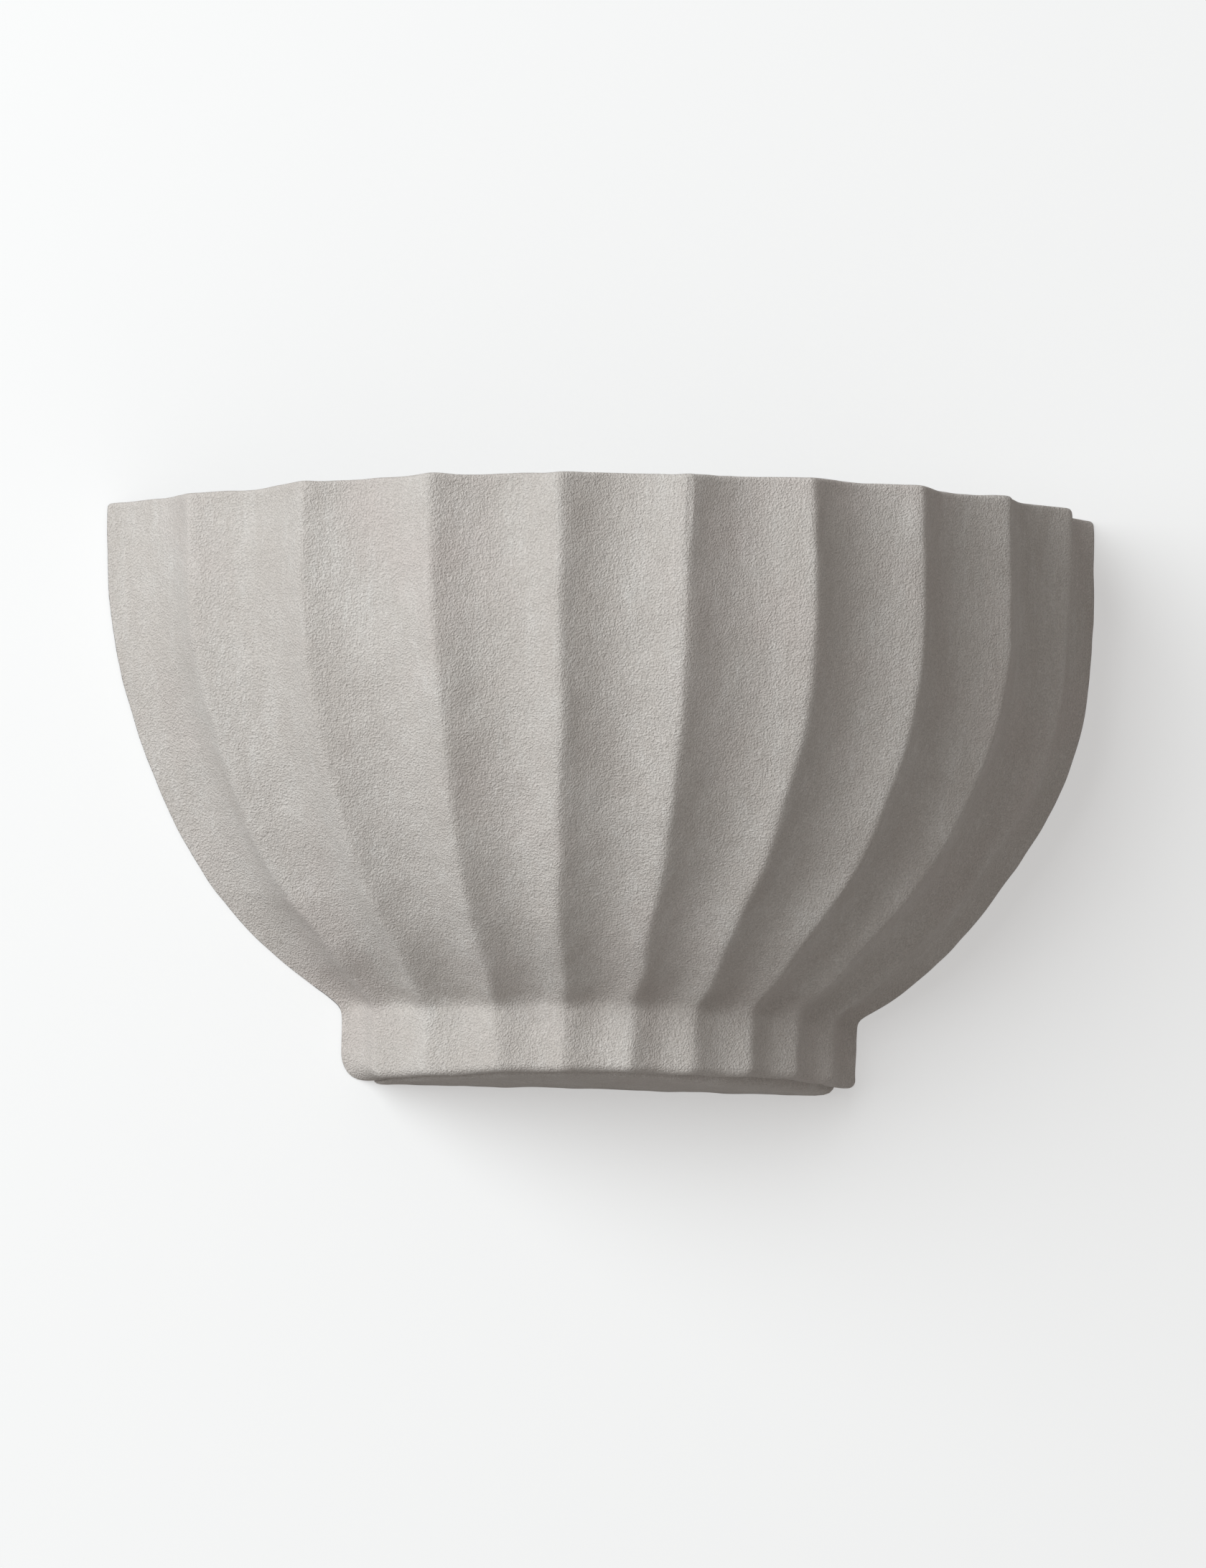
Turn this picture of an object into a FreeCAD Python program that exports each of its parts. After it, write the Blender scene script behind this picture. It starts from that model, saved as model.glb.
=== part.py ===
import FreeCAD, Part

import math
import os

import Sketcher

# A fluted half-bowl wall light: a cast shell hung on a pressed steel wall bracket that carries the
# lampholder.  Millimetres, +Z up, the wall is the plane Y = 0 and the light stands out along -Y.
# The origin is the middle of the two wall screw slots.

SIZES = [
    # the cast shell
    ("shell_half_width", 203.2, "half the width across the wall, at the brow"),
    ("shell_reach", 146.0, "how far the front stands out from the wall"),
    ("rim_height", 110.0, "rim above the wall screws"),
    ("brow_drop", 15.0, "widest line of the bowl below the rim"),
    ("side_closing", 29.5, "the side curve would close this far below the crease"),
    ("front_closing", 18.5, "the front curve would close this far below the crease"),
    ("bowl_fullness", 2.2, "power of the bowl's curve, 2 is an ellipse"),
    ("neck_drop", 203.5, "crease between bowl and foot, below the rim"),
    ("foot_height", 27.5, "height of the foot below the crease"),
    ("foot_half_width", 105.5, "half the foot's width"),
    ("foot_reach", 62.0, "how far the foot stands out from the wall"),
    ("foot_round", 4.0, "rounding of the foot's lower edge"),
    ("flute_count", 10, "concave flutes from wall to wall"),
    ("rim_flute_depth", 6.8, "hollow of a flute at the rim"),
    ("foot_flute_depth", 3.2, "hollow of a flute at the foot"),
    ("ridge_round", 2.6, "radius on the ridges between flutes"),
    ("rim_round", 2.4, "rounding of the rim"),
    ("shell_wall", 8.0, "wall from ridge to inner ridge"),
    ("inner_softening", 1.6, "how much shallower the flutes are inside"),
    ("floor_thick", 9.0, "floor of the foot"),
    ("sole_swell", 3.2, "how far the sole stands below the foot's edge"),
    ("sole_border", 8.0, "border left round the sole"),
    # the cast lugs and the hangers
    ("lug_gap", 2.0, "inner side of a lug past the end of the bracket's arm"),
    ("lug_bottom", 18.0, "underside of a lug"),
    ("lug_tall", 40.0, "height of a lug"),
    ("lug_deep", 18.0, "depth of a lug away from the wall"),
    ("lug_setback", 4.0, "lug face in front of the wall"),
    ("hanger_thick", 1.5, "steel of the hangers"),
    ("hanger_lap", 24.0, "hanger over the face of its lug"),
    ("hanger_tall", 34.0, "height of the screwed end of a hanger"),
    ("insert_radius", 3.0, "outside of a brass insert"),
    ("insert_long", 8.0, "length of a brass insert"),
    ("hanger_screw_radius", 2.0, "thread radius of a hanger screw"),
    ("hanger_screw_long", 9.0, "shank of a hanger screw"),
    ("hanger_screw_inset", 13.0, "hanger screws from the inner side of the lug"),
    ("hanger_screw_low", 28.0, "lower hanger screw"),
    ("hanger_screw_rise", 18.0, "upper hanger screw above the lower"),
    # the wall bracket
    ("plate_thick", 1.5, "steel of the wall bracket"),
    ("plate_half_width", 60.0, "half width of its middle"),
    ("plate_top", 46.0, "top of its middle"),
    ("plate_drop", 48.0, "bottom of its middle below the screws"),
    ("arm_margin", 55.2, "ends of its arms inside the shell's half width"),
    ("arm_tall", 23.5, "height of an arm"),
    ("hook_floor", 12.0, "seat of the hooks above the screws"),
    ("hook_margin", 2.0, "outer side of a hook from the end of its arm"),
    ("hook_wide", 20.0, "width of a hook"),
    ("hook_lip", 11.0, "lip of a hook above its seat"),
    ("screw_spacing", 88.9, "wall screw slots apart"),
    ("slot_long", 14.0, "wall screw slot end to end"),
    ("slot_radius", 2.5, "half the slot's width"),
    ("cable_hole_radius", 9.0, "hole for the bush"),
    ("cable_hole_height", 24.0, "hole above the wall screws"),
    ("bush_bore", 5.5, "bore of the cable bush"),
    ("bush_flange", 12.0, "flange radius of the bush"),
    ("bush_flange_thick", 1.6, "flange of the bush"),
    # the lamp bracket
    ("leg_thick", 2.0, "steel of the lamp bracket"),
    ("leg_half_width", 20.0, "half width of the lamp bracket"),
    ("shelf_top", -62.0, "shelf that the lampholder stands on"),
    ("leg_tall", 30.0, "height of the leg above the shelf"),
    ("lamp_out", 50.0, "lamp axis in front of the wall"),
    ("shelf_nose", 16.0, "shelf past the lamp axis"),
    ("leg_screw_radius", 2.0, "thread radius of the leg screws"),
    ("leg_screw_side", 14.0, "leg screws from the middle"),
    ("leg_screw_rise", 24.0, "leg screws above the shelf"),
    # the lampholder
    ("holder_tall", 48.0, "height of the lampholder"),
    ("holder_radius", 18.5, "radius of the lampholder"),
    ("holder_foot_radius", 15.0, "radius of its foot"),
    ("holder_foot_tall", 12.0, "height of its foot"),
    ("holder_floor", 18.0, "floor of the socket above its base"),
    ("socket_bore", 13.8, "bore of the porcelain"),
    ("sleeve_thick", 0.4, "brass of the threaded sleeve"),
    ("sleeve_tall", 24.0, "height of the threaded sleeve"),
    ("sleeve_drop", 1.0, "threaded sleeve below the lampholder's top"),
    ("holder_chamfer", 2.0, "chamfer on the lampholder's top"),
    ("nipple_radius", 5.0, "thread radius of the nipple"),
    ("nipple_bore", 3.5, "bore of the nipple"),
    ("nipple_grip", 7.0, "nipple above the shelf"),
    ("nipple_tail", 4.5, "nipple below the shelf"),
    ("nut_flat", 7.0, "half the nut's width across flats"),
    ("nut_thick", 3.0, "thickness of the nipple nut"),
    ("tongue_wide", 5.0, "width of the contact tongue"),
    ("tongue_thick", 0.5, "bronze of the contact tongue"),
    ("tongue_long", 9.0, "length of the contact tongue"),
    ("lead_port_height", 9.0, "lead holes above the lampholder's base"),
    # the bulb
    ("bulb_long", 108.0, "length of the bulb"),
    ("bulb_radius", 30.0, "radius of the globe"),
    ("bulb_seated", 24.0, "length of the bulb inside the socket"),
    ("cap_radius", 13.05, "outside of the screw cap"),
    ("cap_thick", 0.5, "metal of the screw cap"),
    ("cap_tall", 23.5, "height of the screw cap"),
    ("cap_insulator_tall", 3.5, "insulator below the cap"),
    ("cap_contact_tall", 1.5, "centre contact below the insulator"),
    ("cap_contact_radius", 4.6, "radius of the centre contact"),
    ("housing_radius", 28.0, "radius of the bulb's housing at its top"),
    ("housing_tall", 29.0, "height of the bulb's housing above the cap"),
    ("housing_wall", 1.8, "wall of the housing"),
    ("housing_shoulder", 6.0, "straight collar at the housing's top"),
    ("housing_seat", 4.0, "seat of the diode board below the housing's top"),
    ("housing_plug", 4.0, "housing inside the cap"),
    ("insulator_plug", 2.0, "insulator inside the cap"),
    ("globe_wall", 1.3, "wall of the globe"),
    ("led_board_thick", 1.6, "board that carries the diodes"),
    ("driver_board_wide", 17.0, "width of the driver board"),
    ("driver_board_tall", 34.0, "height of the driver board"),
    ("driver_board_thick", 1.6, "thickness of the driver board"),
    # the terminal block
    ("pole_count", 3, "poles of the terminal block"),
    ("pole_pitch", 10.0, "poles apart"),
    ("block_top", 1.0, "top of the terminal block"),
    ("block_tall", 18.0, "height of the terminal block"),
    ("block_deep", 12.0, "depth of the terminal block"),
    ("clamp_radius", 3.0, "outside of a brass clamp"),
    ("clamp_bore", 1.7, "bore of a brass clamp"),
    ("clamp_inset", 1.5, "clamp short of the block at each end"),
    ("clamp_screw_radius", 1.5, "thread radius of a clamp screw"),
    ("clamp_screw_head", 2.1, "head radius of a clamp screw"),
    ("clamp_screw_side", 4.5, "clamp screws above and below the middle"),
    ("fixing_radius", 1.25, "thread radius of the block's fixing screws"),
    ("fixing_head", 1.9, "head radius of the fixing screws"),
    # the earth stud
    ("earth_out", 33.0, "earth stud to the right of the middle"),
    ("earth_drop", 31.0, "earth stud below the wall screws"),
    ("earth_radius", 2.0, "thread radius of the earth stud"),
    ("earth_long", 12.0, "earth stud in front of the bracket"),
    ("ring_radius", 4.2, "eye of the ring terminal"),
    ("ring_thick", 0.8, "metal of the ring terminal"),
    ("barrel_radius", 1.8, "outside of its barrel"),
    ("barrel_long", 6.0, "length of its barrel"),
    ("earth_washer_thick", 0.7, "toothed washer"),
    ("earth_nut_thick", 3.2, "nut on the earth stud"),
    ("earth_nut_flat", 3.5, "half the earth nut across flats"),
    # leads and clearances
    ("lead_radius", 1.2, "outside of a lead"),
    ("lead_grip", 6.0, "lead end inside a clamp"),
    ("lead_drop", 5.0, "straight run of a supply lead below the block"),
    ("lead_bow", 2.5, "how far a supply lead bows towards the front"),
    ("lead_knee", 11.0, "bend of a supply lead above its port"),
    ("lead_run_in", 15.0, "straight run of a supply lead into its port"),
    ("earth_lead_drop", 3.0, "straight run of the earth lead below the block"),
    ("earth_lead_run_in", 4.0, "bend of the earth lead before its barrel"),
    ("screw_head_radius", 3.6, "pan heads"),
    ("screw_head_tall", 1.8, "pan heads"),
    ("fit", 0.05, "close fit between a hole and what is in it"),
    ("air", 0.3, "free space between parts that move past each other"),
]

TIED_SIZES = [
    ("arm_reach", "=shell_half_width - arm_margin", "ends of the bracket's arms from the middle"),
    ("hook_inner", "=arm_reach - hook_margin - hook_wide", "inner side of a hook from the middle"),
    ("lug_inner", "=arm_reach + lug_gap", "inner side of a lug from the middle"),
    ("hanger_outer", "=lug_inner + hanger_lap", "outer end of a hanger from the middle"),
    ("hanger_screw_out", "=lug_inner + hanger_screw_inset", "hanger screws from the middle"),
]

DOC = FreeCAD.newDocument("FlutedWallLight")
SHEET = DOC.addObject("Spreadsheet::Sheet", "Sizes")
for row, (alias, value, note) in enumerate(SIZES + TIED_SIZES, start=1):
    SHEET.set(f"A{row}", note)
    SHEET.set(f"B{row}", str(value))
    SHEET.setAlias(f"B{row}", alias)
DOC.recompute()

NODES = []
OVERCUT = 5.0
X_AXIS = FreeCAD.Vector(1, 0, 0)
Y_AXIS = FreeCAD.Vector(0, 1, 0)
Z_AXIS = FreeCAD.Vector(0, 0, 1)
UPRIGHT = FreeCAD.Rotation()
TOWARDS_FRONT = FreeCAD.Rotation(X_AXIS, 90)
TOWARDS_RIGHT = FreeCAD.Rotation(Y_AXIS, 90)


def size(alias):
    """A driving size as a plain number."""
    return float(SHEET.get(alias))


def cells(formula):
    """A formula over the sheet: every word in it is the alias of a cell."""
    words = []
    for word in formula.replace("(", " ( ").replace(")", " ) ").split():
        words.append(f"Sizes.{word}" if word[0].isalpha() else word)
    return " ".join(words)


def keep(feature, node):
    """Mark a feature as a finished sub-part under its node name."""
    feature.Label = node
    NODES.append(feature)
    return feature


def place(feature, x, y, z, turn=UPRIGHT):
    """Put a primitive at a place given by formulas."""
    feature.Placement = FreeCAD.Placement(FreeCAD.Vector(), turn)
    for axis, formula in zip("xyz", (x, y, z)):
        feature.setExpression(f"Placement.Base.{axis}", cells(formula))
    return feature


def bind(feature, **formulas):
    """Bind properties of a feature to formulas over the sheet."""
    for name, formula in formulas.items():
        feature.setExpression(name, cells(formula))
    return feature


def block(name, wide, deep, tall, x, y, z):
    """A box from its lowest corner."""
    feature = DOC.addObject("Part::Box", name)
    bind(feature, Length=wide, Width=deep, Height=tall)
    return place(feature, x, y, z)


def rod(name, radius, height, x, y, z, turn=UPRIGHT):
    """A round bar from the middle of its foot."""
    feature = DOC.addObject("Part::Cylinder", name)
    bind(feature, Radius=radius, Height=height)
    return place(feature, x, y, z, turn)


def taper(name, low_radius, high_radius, height, x, y, z):
    """An upright cone frustum."""
    feature = DOC.addObject("Part::Cone", name)
    bind(feature, Radius1=low_radius, Radius2=high_radius, Height=height)
    return place(feature, x, y, z)


def ball(name, radius, x, y, z):
    """A sphere."""
    feature = DOC.addObject("Part::Sphere", name)
    bind(feature, Radius=radius)
    return place(feature, x, y, z)


def hexagon(name, half_flat, height, x, y, z, turn=UPRIGHT):
    """A hexagonal bar given by half its width across flats."""
    feature = DOC.addObject("Part::Prism", name)
    feature.Polygon = 6
    bind(feature, Circumradius=f"{half_flat} * 2 / 3 ^ 0.5", Height=height)
    return place(feature, x, y, z, turn)


def join(name, pieces):
    """Several features made one."""
    feature = DOC.addObject("Part::MultiFuse", name)
    feature.Shapes = pieces
    return feature


def cut(name, base, tools):
    """A feature with others taken out of it."""
    feature = DOC.addObject("Part::Cut", name)
    feature.Base = base
    feature.Tool = tools[0] if len(tools) == 1 else join(f"{name}_tools", tools)
    return feature


def group(name, pieces):
    """Separate like solids that share one node."""
    feature = DOC.addObject("Part::Compound", name)
    feature.Links = pieces
    return feature


def outline(body, name, plane, corners, offset="0"):
    """A sketch of straight sides whose every corner is held by two bound distances."""
    sketch = body.newObject("Sketcher::SketchObject", name)
    support = next(item for item in body.Origin.OriginFeatures if item.Role == plane)
    sketch.AttachmentSupport = [(support, "")]
    sketch.MapMode = "FlatFace"
    sketch.setExpression("AttachmentOffset.Base.z", cells(offset))
    count = len(corners)
    guesses = []
    for number in range(count):
        turn = math.tau * number / count
        guesses.append(FreeCAD.Vector(10 * math.cos(turn) + 11, 10 * math.sin(turn) + 12, 0))
    for number in range(count):
        sketch.addGeometry(Part.LineSegment(guesses[number], guesses[(number + 1) % count]))
    for number in range(count):
        sketch.addConstraint(Sketcher.Constraint("Coincident", number, 2, (number + 1) % count, 1))
    for number, (across, up) in enumerate(corners):
        for kind, formula, start in (
            ("DistanceX", across, guesses[number].x),
            ("DistanceY", up, guesses[number].y),
        ):
            index = sketch.addConstraint(Sketcher.Constraint(kind, -1, 1, number, 1, start))
            sketch.setExpression(f"Constraints[{index}]", cells(formula))
    return sketch


def pad(body, name, sketch, length, reverse=False):
    """Pad a sketch by a bound length."""
    feature = body.newObject("PartDesign::Pad", name)
    feature.Profile = sketch
    feature.Reversed = reverse
    bind(feature, Length=length)
    return feature


def turned(node, corners):
    """A body turned about the vertical axis from its half section, at the lamp axis."""
    body = DOC.addObject("PartDesign::Body", node)
    sketch = outline(body, f"{node}_section", "XZ_Plane", corners)
    feature = body.newObject("PartDesign::Revolution", f"{node}_turned")
    feature.Profile = sketch
    feature.ReferenceAxis = (sketch, ["V_Axis"])
    feature.Angle = 360.0
    body.setExpression("Placement.Base.y", cells("0 - lamp_out"))
    return body


# ---------------------------------------------------------------- the fluted shell


def bowl_share(drop, closing):
    """Share of the brow's size left at a drop below the rim."""
    below = max(drop - size("brow_drop"), 0.0)
    whole = size("neck_drop") - size("brow_drop") + closing
    return math.sqrt(1.0 - (below / whole) ** size("bowl_fullness"))


def bowl_half_width(drop):
    return size("shell_half_width") * bowl_share(drop, size("side_closing"))


def bowl_reach(drop):
    return size("shell_reach") * bowl_share(drop, size("front_closing"))


def flute_depth(drop):
    """Flutes get shallower from the rim to the crease."""
    share = min(drop / size("neck_drop"), 1.0)
    return size("rim_flute_depth") * (1.0 - share) + size("foot_flute_depth") * share


def ridge_points(half_width, reach):
    """The ridges of one level, equally spaced on an arc from wall to wall."""
    radius = (half_width**2 + reach**2) / (2.0 * reach)
    half_turn = math.atan2(half_width, radius - reach)
    count = int(size("flute_count"))
    points = []
    for number in range(count + 1):
        turn = half_turn * (2.0 * number / count - 1.0)
        points.append((radius * math.sin(turn), -(radius * math.cos(turn) - (radius - reach))))
    return points


def scalloped_wire(half_width, reach, depth, height, inside=False):
    """One closed level: hollow flutes, small rounds on the ridges, straight along the wall."""
    points = ridge_points(half_width, reach)
    rounding = min(size("ridge_round"), 0.12 * math.dist(points[0], points[1]))
    hollow_ends = []
    hollows = []
    for start, end in zip(points, points[1:]):
        chord = math.dist(start, end)
        along = ((end[0] - start[0]) / chord, (end[1] - start[1]) / chord)
        inward = (-along[1], along[0])
        radius = (chord**2 / 4.0 + depth**2) / (2.0 * depth)
        half_turn = math.asin(chord / (2.0 * radius))
        shares = []
        for trim in (rounding, chord / 2.0, chord - rounding):
            turn = half_turn * (2.0 * trim / chord - 1.0)
            run = radius * math.sin(turn) + chord / 2.0
            rise = radius * math.cos(turn) - (radius - depth)
            shares.append(
                FreeCAD.Vector(
                    start[0] + along[0] * run + inward[0] * rise,
                    start[1] + along[1] * run + inward[1] * rise,
                    height,
                )
            )
        hollows.append(shares)
    first = FreeCAD.Vector(points[0][0], points[0][1], height)
    last = FreeCAD.Vector(points[-1][0], points[-1][1], height)
    hollows[0][0] = first
    hollows[-1][2] = last
    edges = []
    for number, (start, middle, end) in enumerate(hollows):
        if number:
            before = hollows[number - 1][2]
            ridge = FreeCAD.Vector(points[number][0], points[number][1], height)
            crown = ridge * 0.66 + (before + start) * 0.17
            edges.append(Part.Arc(before, crown, start).toShape())
        edges.append(Part.Arc(start, middle, end).toShape())
    if inside:
        behind_first = first + Y_AXIS * OVERCUT
        behind_last = last + Y_AXIS * OVERCUT
        edges.append(Part.makeLine(last, behind_last))
        edges.append(Part.makeLine(behind_last, behind_first))
        edges.append(Part.makeLine(behind_first, first))
    else:
        edges.append(Part.makeLine(last, first))
    return Part.Wire(edges)


def level_wire(drop, inset=0.0, inside=False):
    """The bowl's level at a drop below the rim, moved in by an inset."""
    depth = flute_depth(drop) - (size("inner_softening") if inside else 0.0)
    return scalloped_wire(
        bowl_half_width(drop) - inset,
        bowl_reach(drop) - inset,
        depth,
        size("rim_height") - drop,
        inside,
    )


def foot_wire(height, inset=0.0, inside=False):
    """The foot's level at a height, moved in by an inset."""
    depth = size("foot_flute_depth") - (size("inner_softening") if inside else 0.0)
    return scalloped_wire(
        size("foot_half_width") - inset, size("foot_reach") - inset, depth, height, inside
    )


def bowl_drops():
    """Levels of the bowl, closer together towards the crease where it curves most."""
    steps = 7
    brow = size("brow_drop")
    span = size("neck_drop") - brow
    return [brow + span * math.sin(math.pi / 2.0 * step / steps) for step in range(steps + 1)]


def shell_shape():
    """The cast shell: fluted bowl and foot, hollow, open at the top and along the wall."""
    rim = size("rim_height")
    round_off = size("rim_round")
    wall = size("shell_wall")
    crease = rim - size("neck_drop")
    bottom = crease - size("foot_height")
    corner = size("foot_round")

    drops = bowl_drops()
    brow_band = Part.makeLoft([level_wire(round_off), level_wire(drops[0])], True, True)
    rim_band = Part.makeLoft([level_wire(0.0, round_off / 2), level_wire(round_off)], True, True)
    bowl = Part.makeLoft([level_wire(drop) for drop in drops], True, False)
    foot = Part.makeLoft([foot_wire(crease), foot_wire(bottom + corner)], True, True)
    sole = Part.makeLoft([foot_wire(bottom + corner), foot_wire(bottom, corner / 2)], True, True)
    outside = rim_band.fuse([brow_band, bowl, foot, sole]).removeSplitter()

    mouth = Part.makeLoft(
        [
            level_wire(0.0, wall - round_off / 2, True).translated(Z_AXIS * OVERCUT),
            level_wire(0.0, wall - round_off / 2, True),
            level_wire(round_off, wall, True),
            level_wire(drops[0], wall, True),
        ],
        True,
        True,
    )
    hollow = Part.makeLoft([level_wire(drop, wall, True) for drop in drops], True, False)
    well = Part.makeLoft(
        [foot_wire(crease, wall, True), foot_wire(bottom + size("floor_thick"), wall, True)],
        True,
        True,
    )
    hollow_space = mouth.fuse([hollow, well])

    lugs = []
    lug_wide = size("shell_half_width") - size("lug_inner")
    low = FreeCAD.Vector(0, -size("lug_setback") - size("lug_deep"), size("lug_bottom"))
    for left in (size("lug_inner"), -size("lug_inner") - lug_wide):
        lug = Part.makeBox(lug_wide, size("lug_deep"), size("lug_tall"), low + X_AXIS * left)
        lugs.append(lug.common(outside))

    sole_top = foot_wire(bottom, size("sole_border"))
    sole_foot = foot_wire(bottom - size("sole_swell"), size("sole_border") + size("sole_swell"))
    swell = Part.makeLoft([sole_top, sole_foot], True, True)
    shell = outside.fuse(swell).cut(hollow_space).fuse(lugs)

    for side in (-1, 1):
        for step in range(2):
            axis_foot = FreeCAD.Vector(
                side * size("hanger_screw_out"),
                -size("lug_setback"),
                size("hanger_screw_low") + step * size("hanger_screw_rise"),
            )
            seat = Part.makeCylinder(
                size("insert_radius"), size("insert_long") + 2.0, axis_foot, -Y_AXIS
            )
            shell = shell.cut(seat)
    return shell.removeSplitter()


def make_shell():
    feature = DOC.addObject("Part::Feature", "fluted_shell")
    feature.Shape = shell_shape()
    feature.Placement = FreeCAD.Placement()
    return keep(feature, "fluted_shell")


# ---------------------------------------------------------------- hangers on the shell


def make_hangers():
    """Flat hangers behind the lugs; their tongues drop into the bracket's hooks."""
    for node, side in (("hanger_left", "0 - 1"), ("hanger_right", "1")):
        sign = f"( {side} )"
        body = DOC.addObject("PartDesign::Body", f"{node}_plate")
        step = "( hook_inner + hook_wide + air )"
        top = "( lug_bottom + ( lug_tall + hanger_tall ) / 2 )"
        low = "( lug_bottom + ( lug_tall - hanger_tall ) / 2 )"
        corners = [
            (f"{sign} * hook_inner", "hook_floor"),
            (f"{sign} * {step}", "hook_floor"),
            (f"{sign} * {step}", low),
            (f"{sign} * hanger_outer", low),
            (f"{sign} * hanger_outer", top),
            (f"{sign} * hook_inner", top),
        ]
        sketch = outline(
            body, f"{node}_outline", "XZ_Plane", corners, "lug_setback - hanger_thick"
        )
        pad(body, f"{node}_pad", sketch, "hanger_thick")
        holes = []
        for number, height in enumerate(("hanger_screw_low", "hanger_screw_low + hanger_screw_rise")):
            holes.append(
                rod(
                    f"{node}_hole_{number}",
                    "hanger_screw_radius + air",
                    "2 * lug_setback",
                    f"{sign} * hanger_screw_out",
                    "0",
                    height,
                    TOWARDS_FRONT,
                )
            )
        keep(cut(f"{node}_cut", body, holes), node)


def make_hanger_fasteners():
    """Pan screws through the hangers into brass inserts cast in the lugs."""
    screws = []
    inserts = []
    for number in range(4):
        sign = "( 0 - 1 )" if number % 2 else "1"
        height = "hanger_screw_low" if number < 2 else "hanger_screw_low + hanger_screw_rise"
        across = f"{sign} * hanger_screw_out"
        face = "0 - lug_setback + hanger_thick"
        shank = rod(
            f"hanger_shank_{number}", "hanger_screw_radius", "hanger_screw_long",
            across, face, height, TOWARDS_FRONT,
        )
        head = rod(
            f"hanger_head_{number}", "screw_head_radius", "screw_head_tall",
            across, f"{face} + screw_head_tall", height, TOWARDS_FRONT,
        )
        screws.append(join(f"hanger_screw_{number}", [shank, head]))
        outer = rod(
            f"insert_outer_{number}", "insert_radius - fit", "insert_long",
            across, "0 - lug_setback", height, TOWARDS_FRONT,
        )
        bore = rod(
            f"insert_bore_{number}", "hanger_screw_radius + fit", "insert_long",
            across, "0 - lug_setback", height, TOWARDS_FRONT,
        )
        inserts.append(cut(f"insert_{number}", outer, [bore]))
    keep(group("hanger_screw_group", screws), "hanger_screws")
    keep(group("insert_group", inserts), "shell_inserts")


# ---------------------------------------------------------------- the wall bracket


def make_wall_bracket():
    """Pressed plate with two arms, each turned out into an open hook."""
    body = DOC.addObject("PartDesign::Body", "bracket_body")
    arm_low = "hook_floor - plate_thick"
    arm_top = "hook_floor - plate_thick + arm_tall"
    corners = []
    for sign in ("( 0 - 1 )", "1"):
        half = [
            (f"{sign} * arm_reach", arm_top),
            (f"{sign} * arm_reach", arm_low),
            (f"{sign} * plate_half_width", arm_low),
            (f"{sign} * plate_half_width", "0 - plate_drop"),
        ]
        upper = [(f"{sign} * plate_half_width", "plate_top"), (f"{sign} * plate_half_width", arm_top)]
        side = upper + half
        corners.extend(side if sign.startswith("(") else side[::-1])
    sketch = outline(body, "bracket_outline", "XZ_Plane", corners)
    pad(body, "bracket_pad", sketch, "plate_thick")

    lip_back = "0 - lug_setback - air"
    lip_front = f"{lip_back} - plate_thick"
    profile = [
        ("0", arm_low),
        (lip_front, arm_low),
        (lip_front, "hook_floor + hook_lip"),
        (lip_back, "hook_floor + hook_lip"),
        (lip_back, "hook_floor"),
        ("0", "hook_floor"),
    ]
    hook_sketch = outline(body, "hook_profile", "YZ_Plane", profile, "hook_inner")
    hook = pad(body, "hook_pad", hook_sketch, "hook_wide")
    DOC.recompute()
    mirrored = body.newObject("PartDesign::Mirrored", "hook_pair")
    mirrored.Originals = [hook]
    middle = next(item for item in body.Origin.OriginFeatures if item.Role == "YZ_Plane")
    mirrored.MirrorPlane = (middle, [""])
    body.Tip = mirrored

    tools = []
    for number, sign in enumerate(("( 0 - 1 )", "1")):
        centre = f"{sign} * screw_spacing / 2"
        half_run = "( slot_long / 2 - slot_radius )"
        for end, way in (("a", "-"), ("b", "+")):
            tools.append(
                rod(
                    f"slot_{number}_{end}", "slot_radius", "3 * plate_thick",
                    f"{centre} {way} {half_run}", "plate_thick", "0", TOWARDS_FRONT,
                )
            )
        tools.append(
            block(
                f"slot_{number}_run", f"2 * {half_run}", "3 * plate_thick", "2 * slot_radius",
                f"{centre} - {half_run}", "0 - 2 * plate_thick", "0 - slot_radius",
            )
        )
        tools.append(
            rod(
                f"leg_tapping_{number}", "leg_screw_radius + fit", "3 * plate_thick",
                f"{sign} * leg_screw_side", "plate_thick", "shelf_top + leg_screw_rise",
                TOWARDS_FRONT,
            )
        )
        tools.append(
            rod(
                f"block_tapping_{number}", "fixing_radius + fit", "3 * plate_thick",
                f"{sign} * pole_pitch / 2", "plate_thick", "block_top - block_tall / 2",
                TOWARDS_FRONT,
            )
        )
    tools.append(
        rod(
            "cable_hole", "cable_hole_radius", "3 * plate_thick",
            "0", "plate_thick", "cable_hole_height", TOWARDS_FRONT,
        )
    )
    tools.append(
        rod(
            "earth_hole", "earth_radius + fit", "3 * plate_thick",
            "earth_out", "plate_thick", "0 - earth_drop", TOWARDS_FRONT,
        )
    )
    keep(cut("bracket_drilled", body, tools), "wall_bracket")


def make_cable_bush():
    """Flanged bush in the cable hole, flush with the bracket's back."""
    sleeve = rod(
        "bush_sleeve", "cable_hole_radius - fit", "plate_thick",
        "0", "0", "cable_hole_height", TOWARDS_FRONT,
    )
    flange = rod(
        "bush_flange_disc", "bush_flange", "bush_flange_thick",
        "0", "0 - plate_thick", "cable_hole_height", TOWARDS_FRONT,
    )
    bore = rod(
        "bush_hole", "bush_bore", "4 * bush_flange_thick",
        "0", "plate_thick", "cable_hole_height", TOWARDS_FRONT,
    )
    keep(cut("bush_cut", join("bush_blank", [sleeve, flange]), [bore]), "cable_bush")


# ---------------------------------------------------------------- the terminal block


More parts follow.
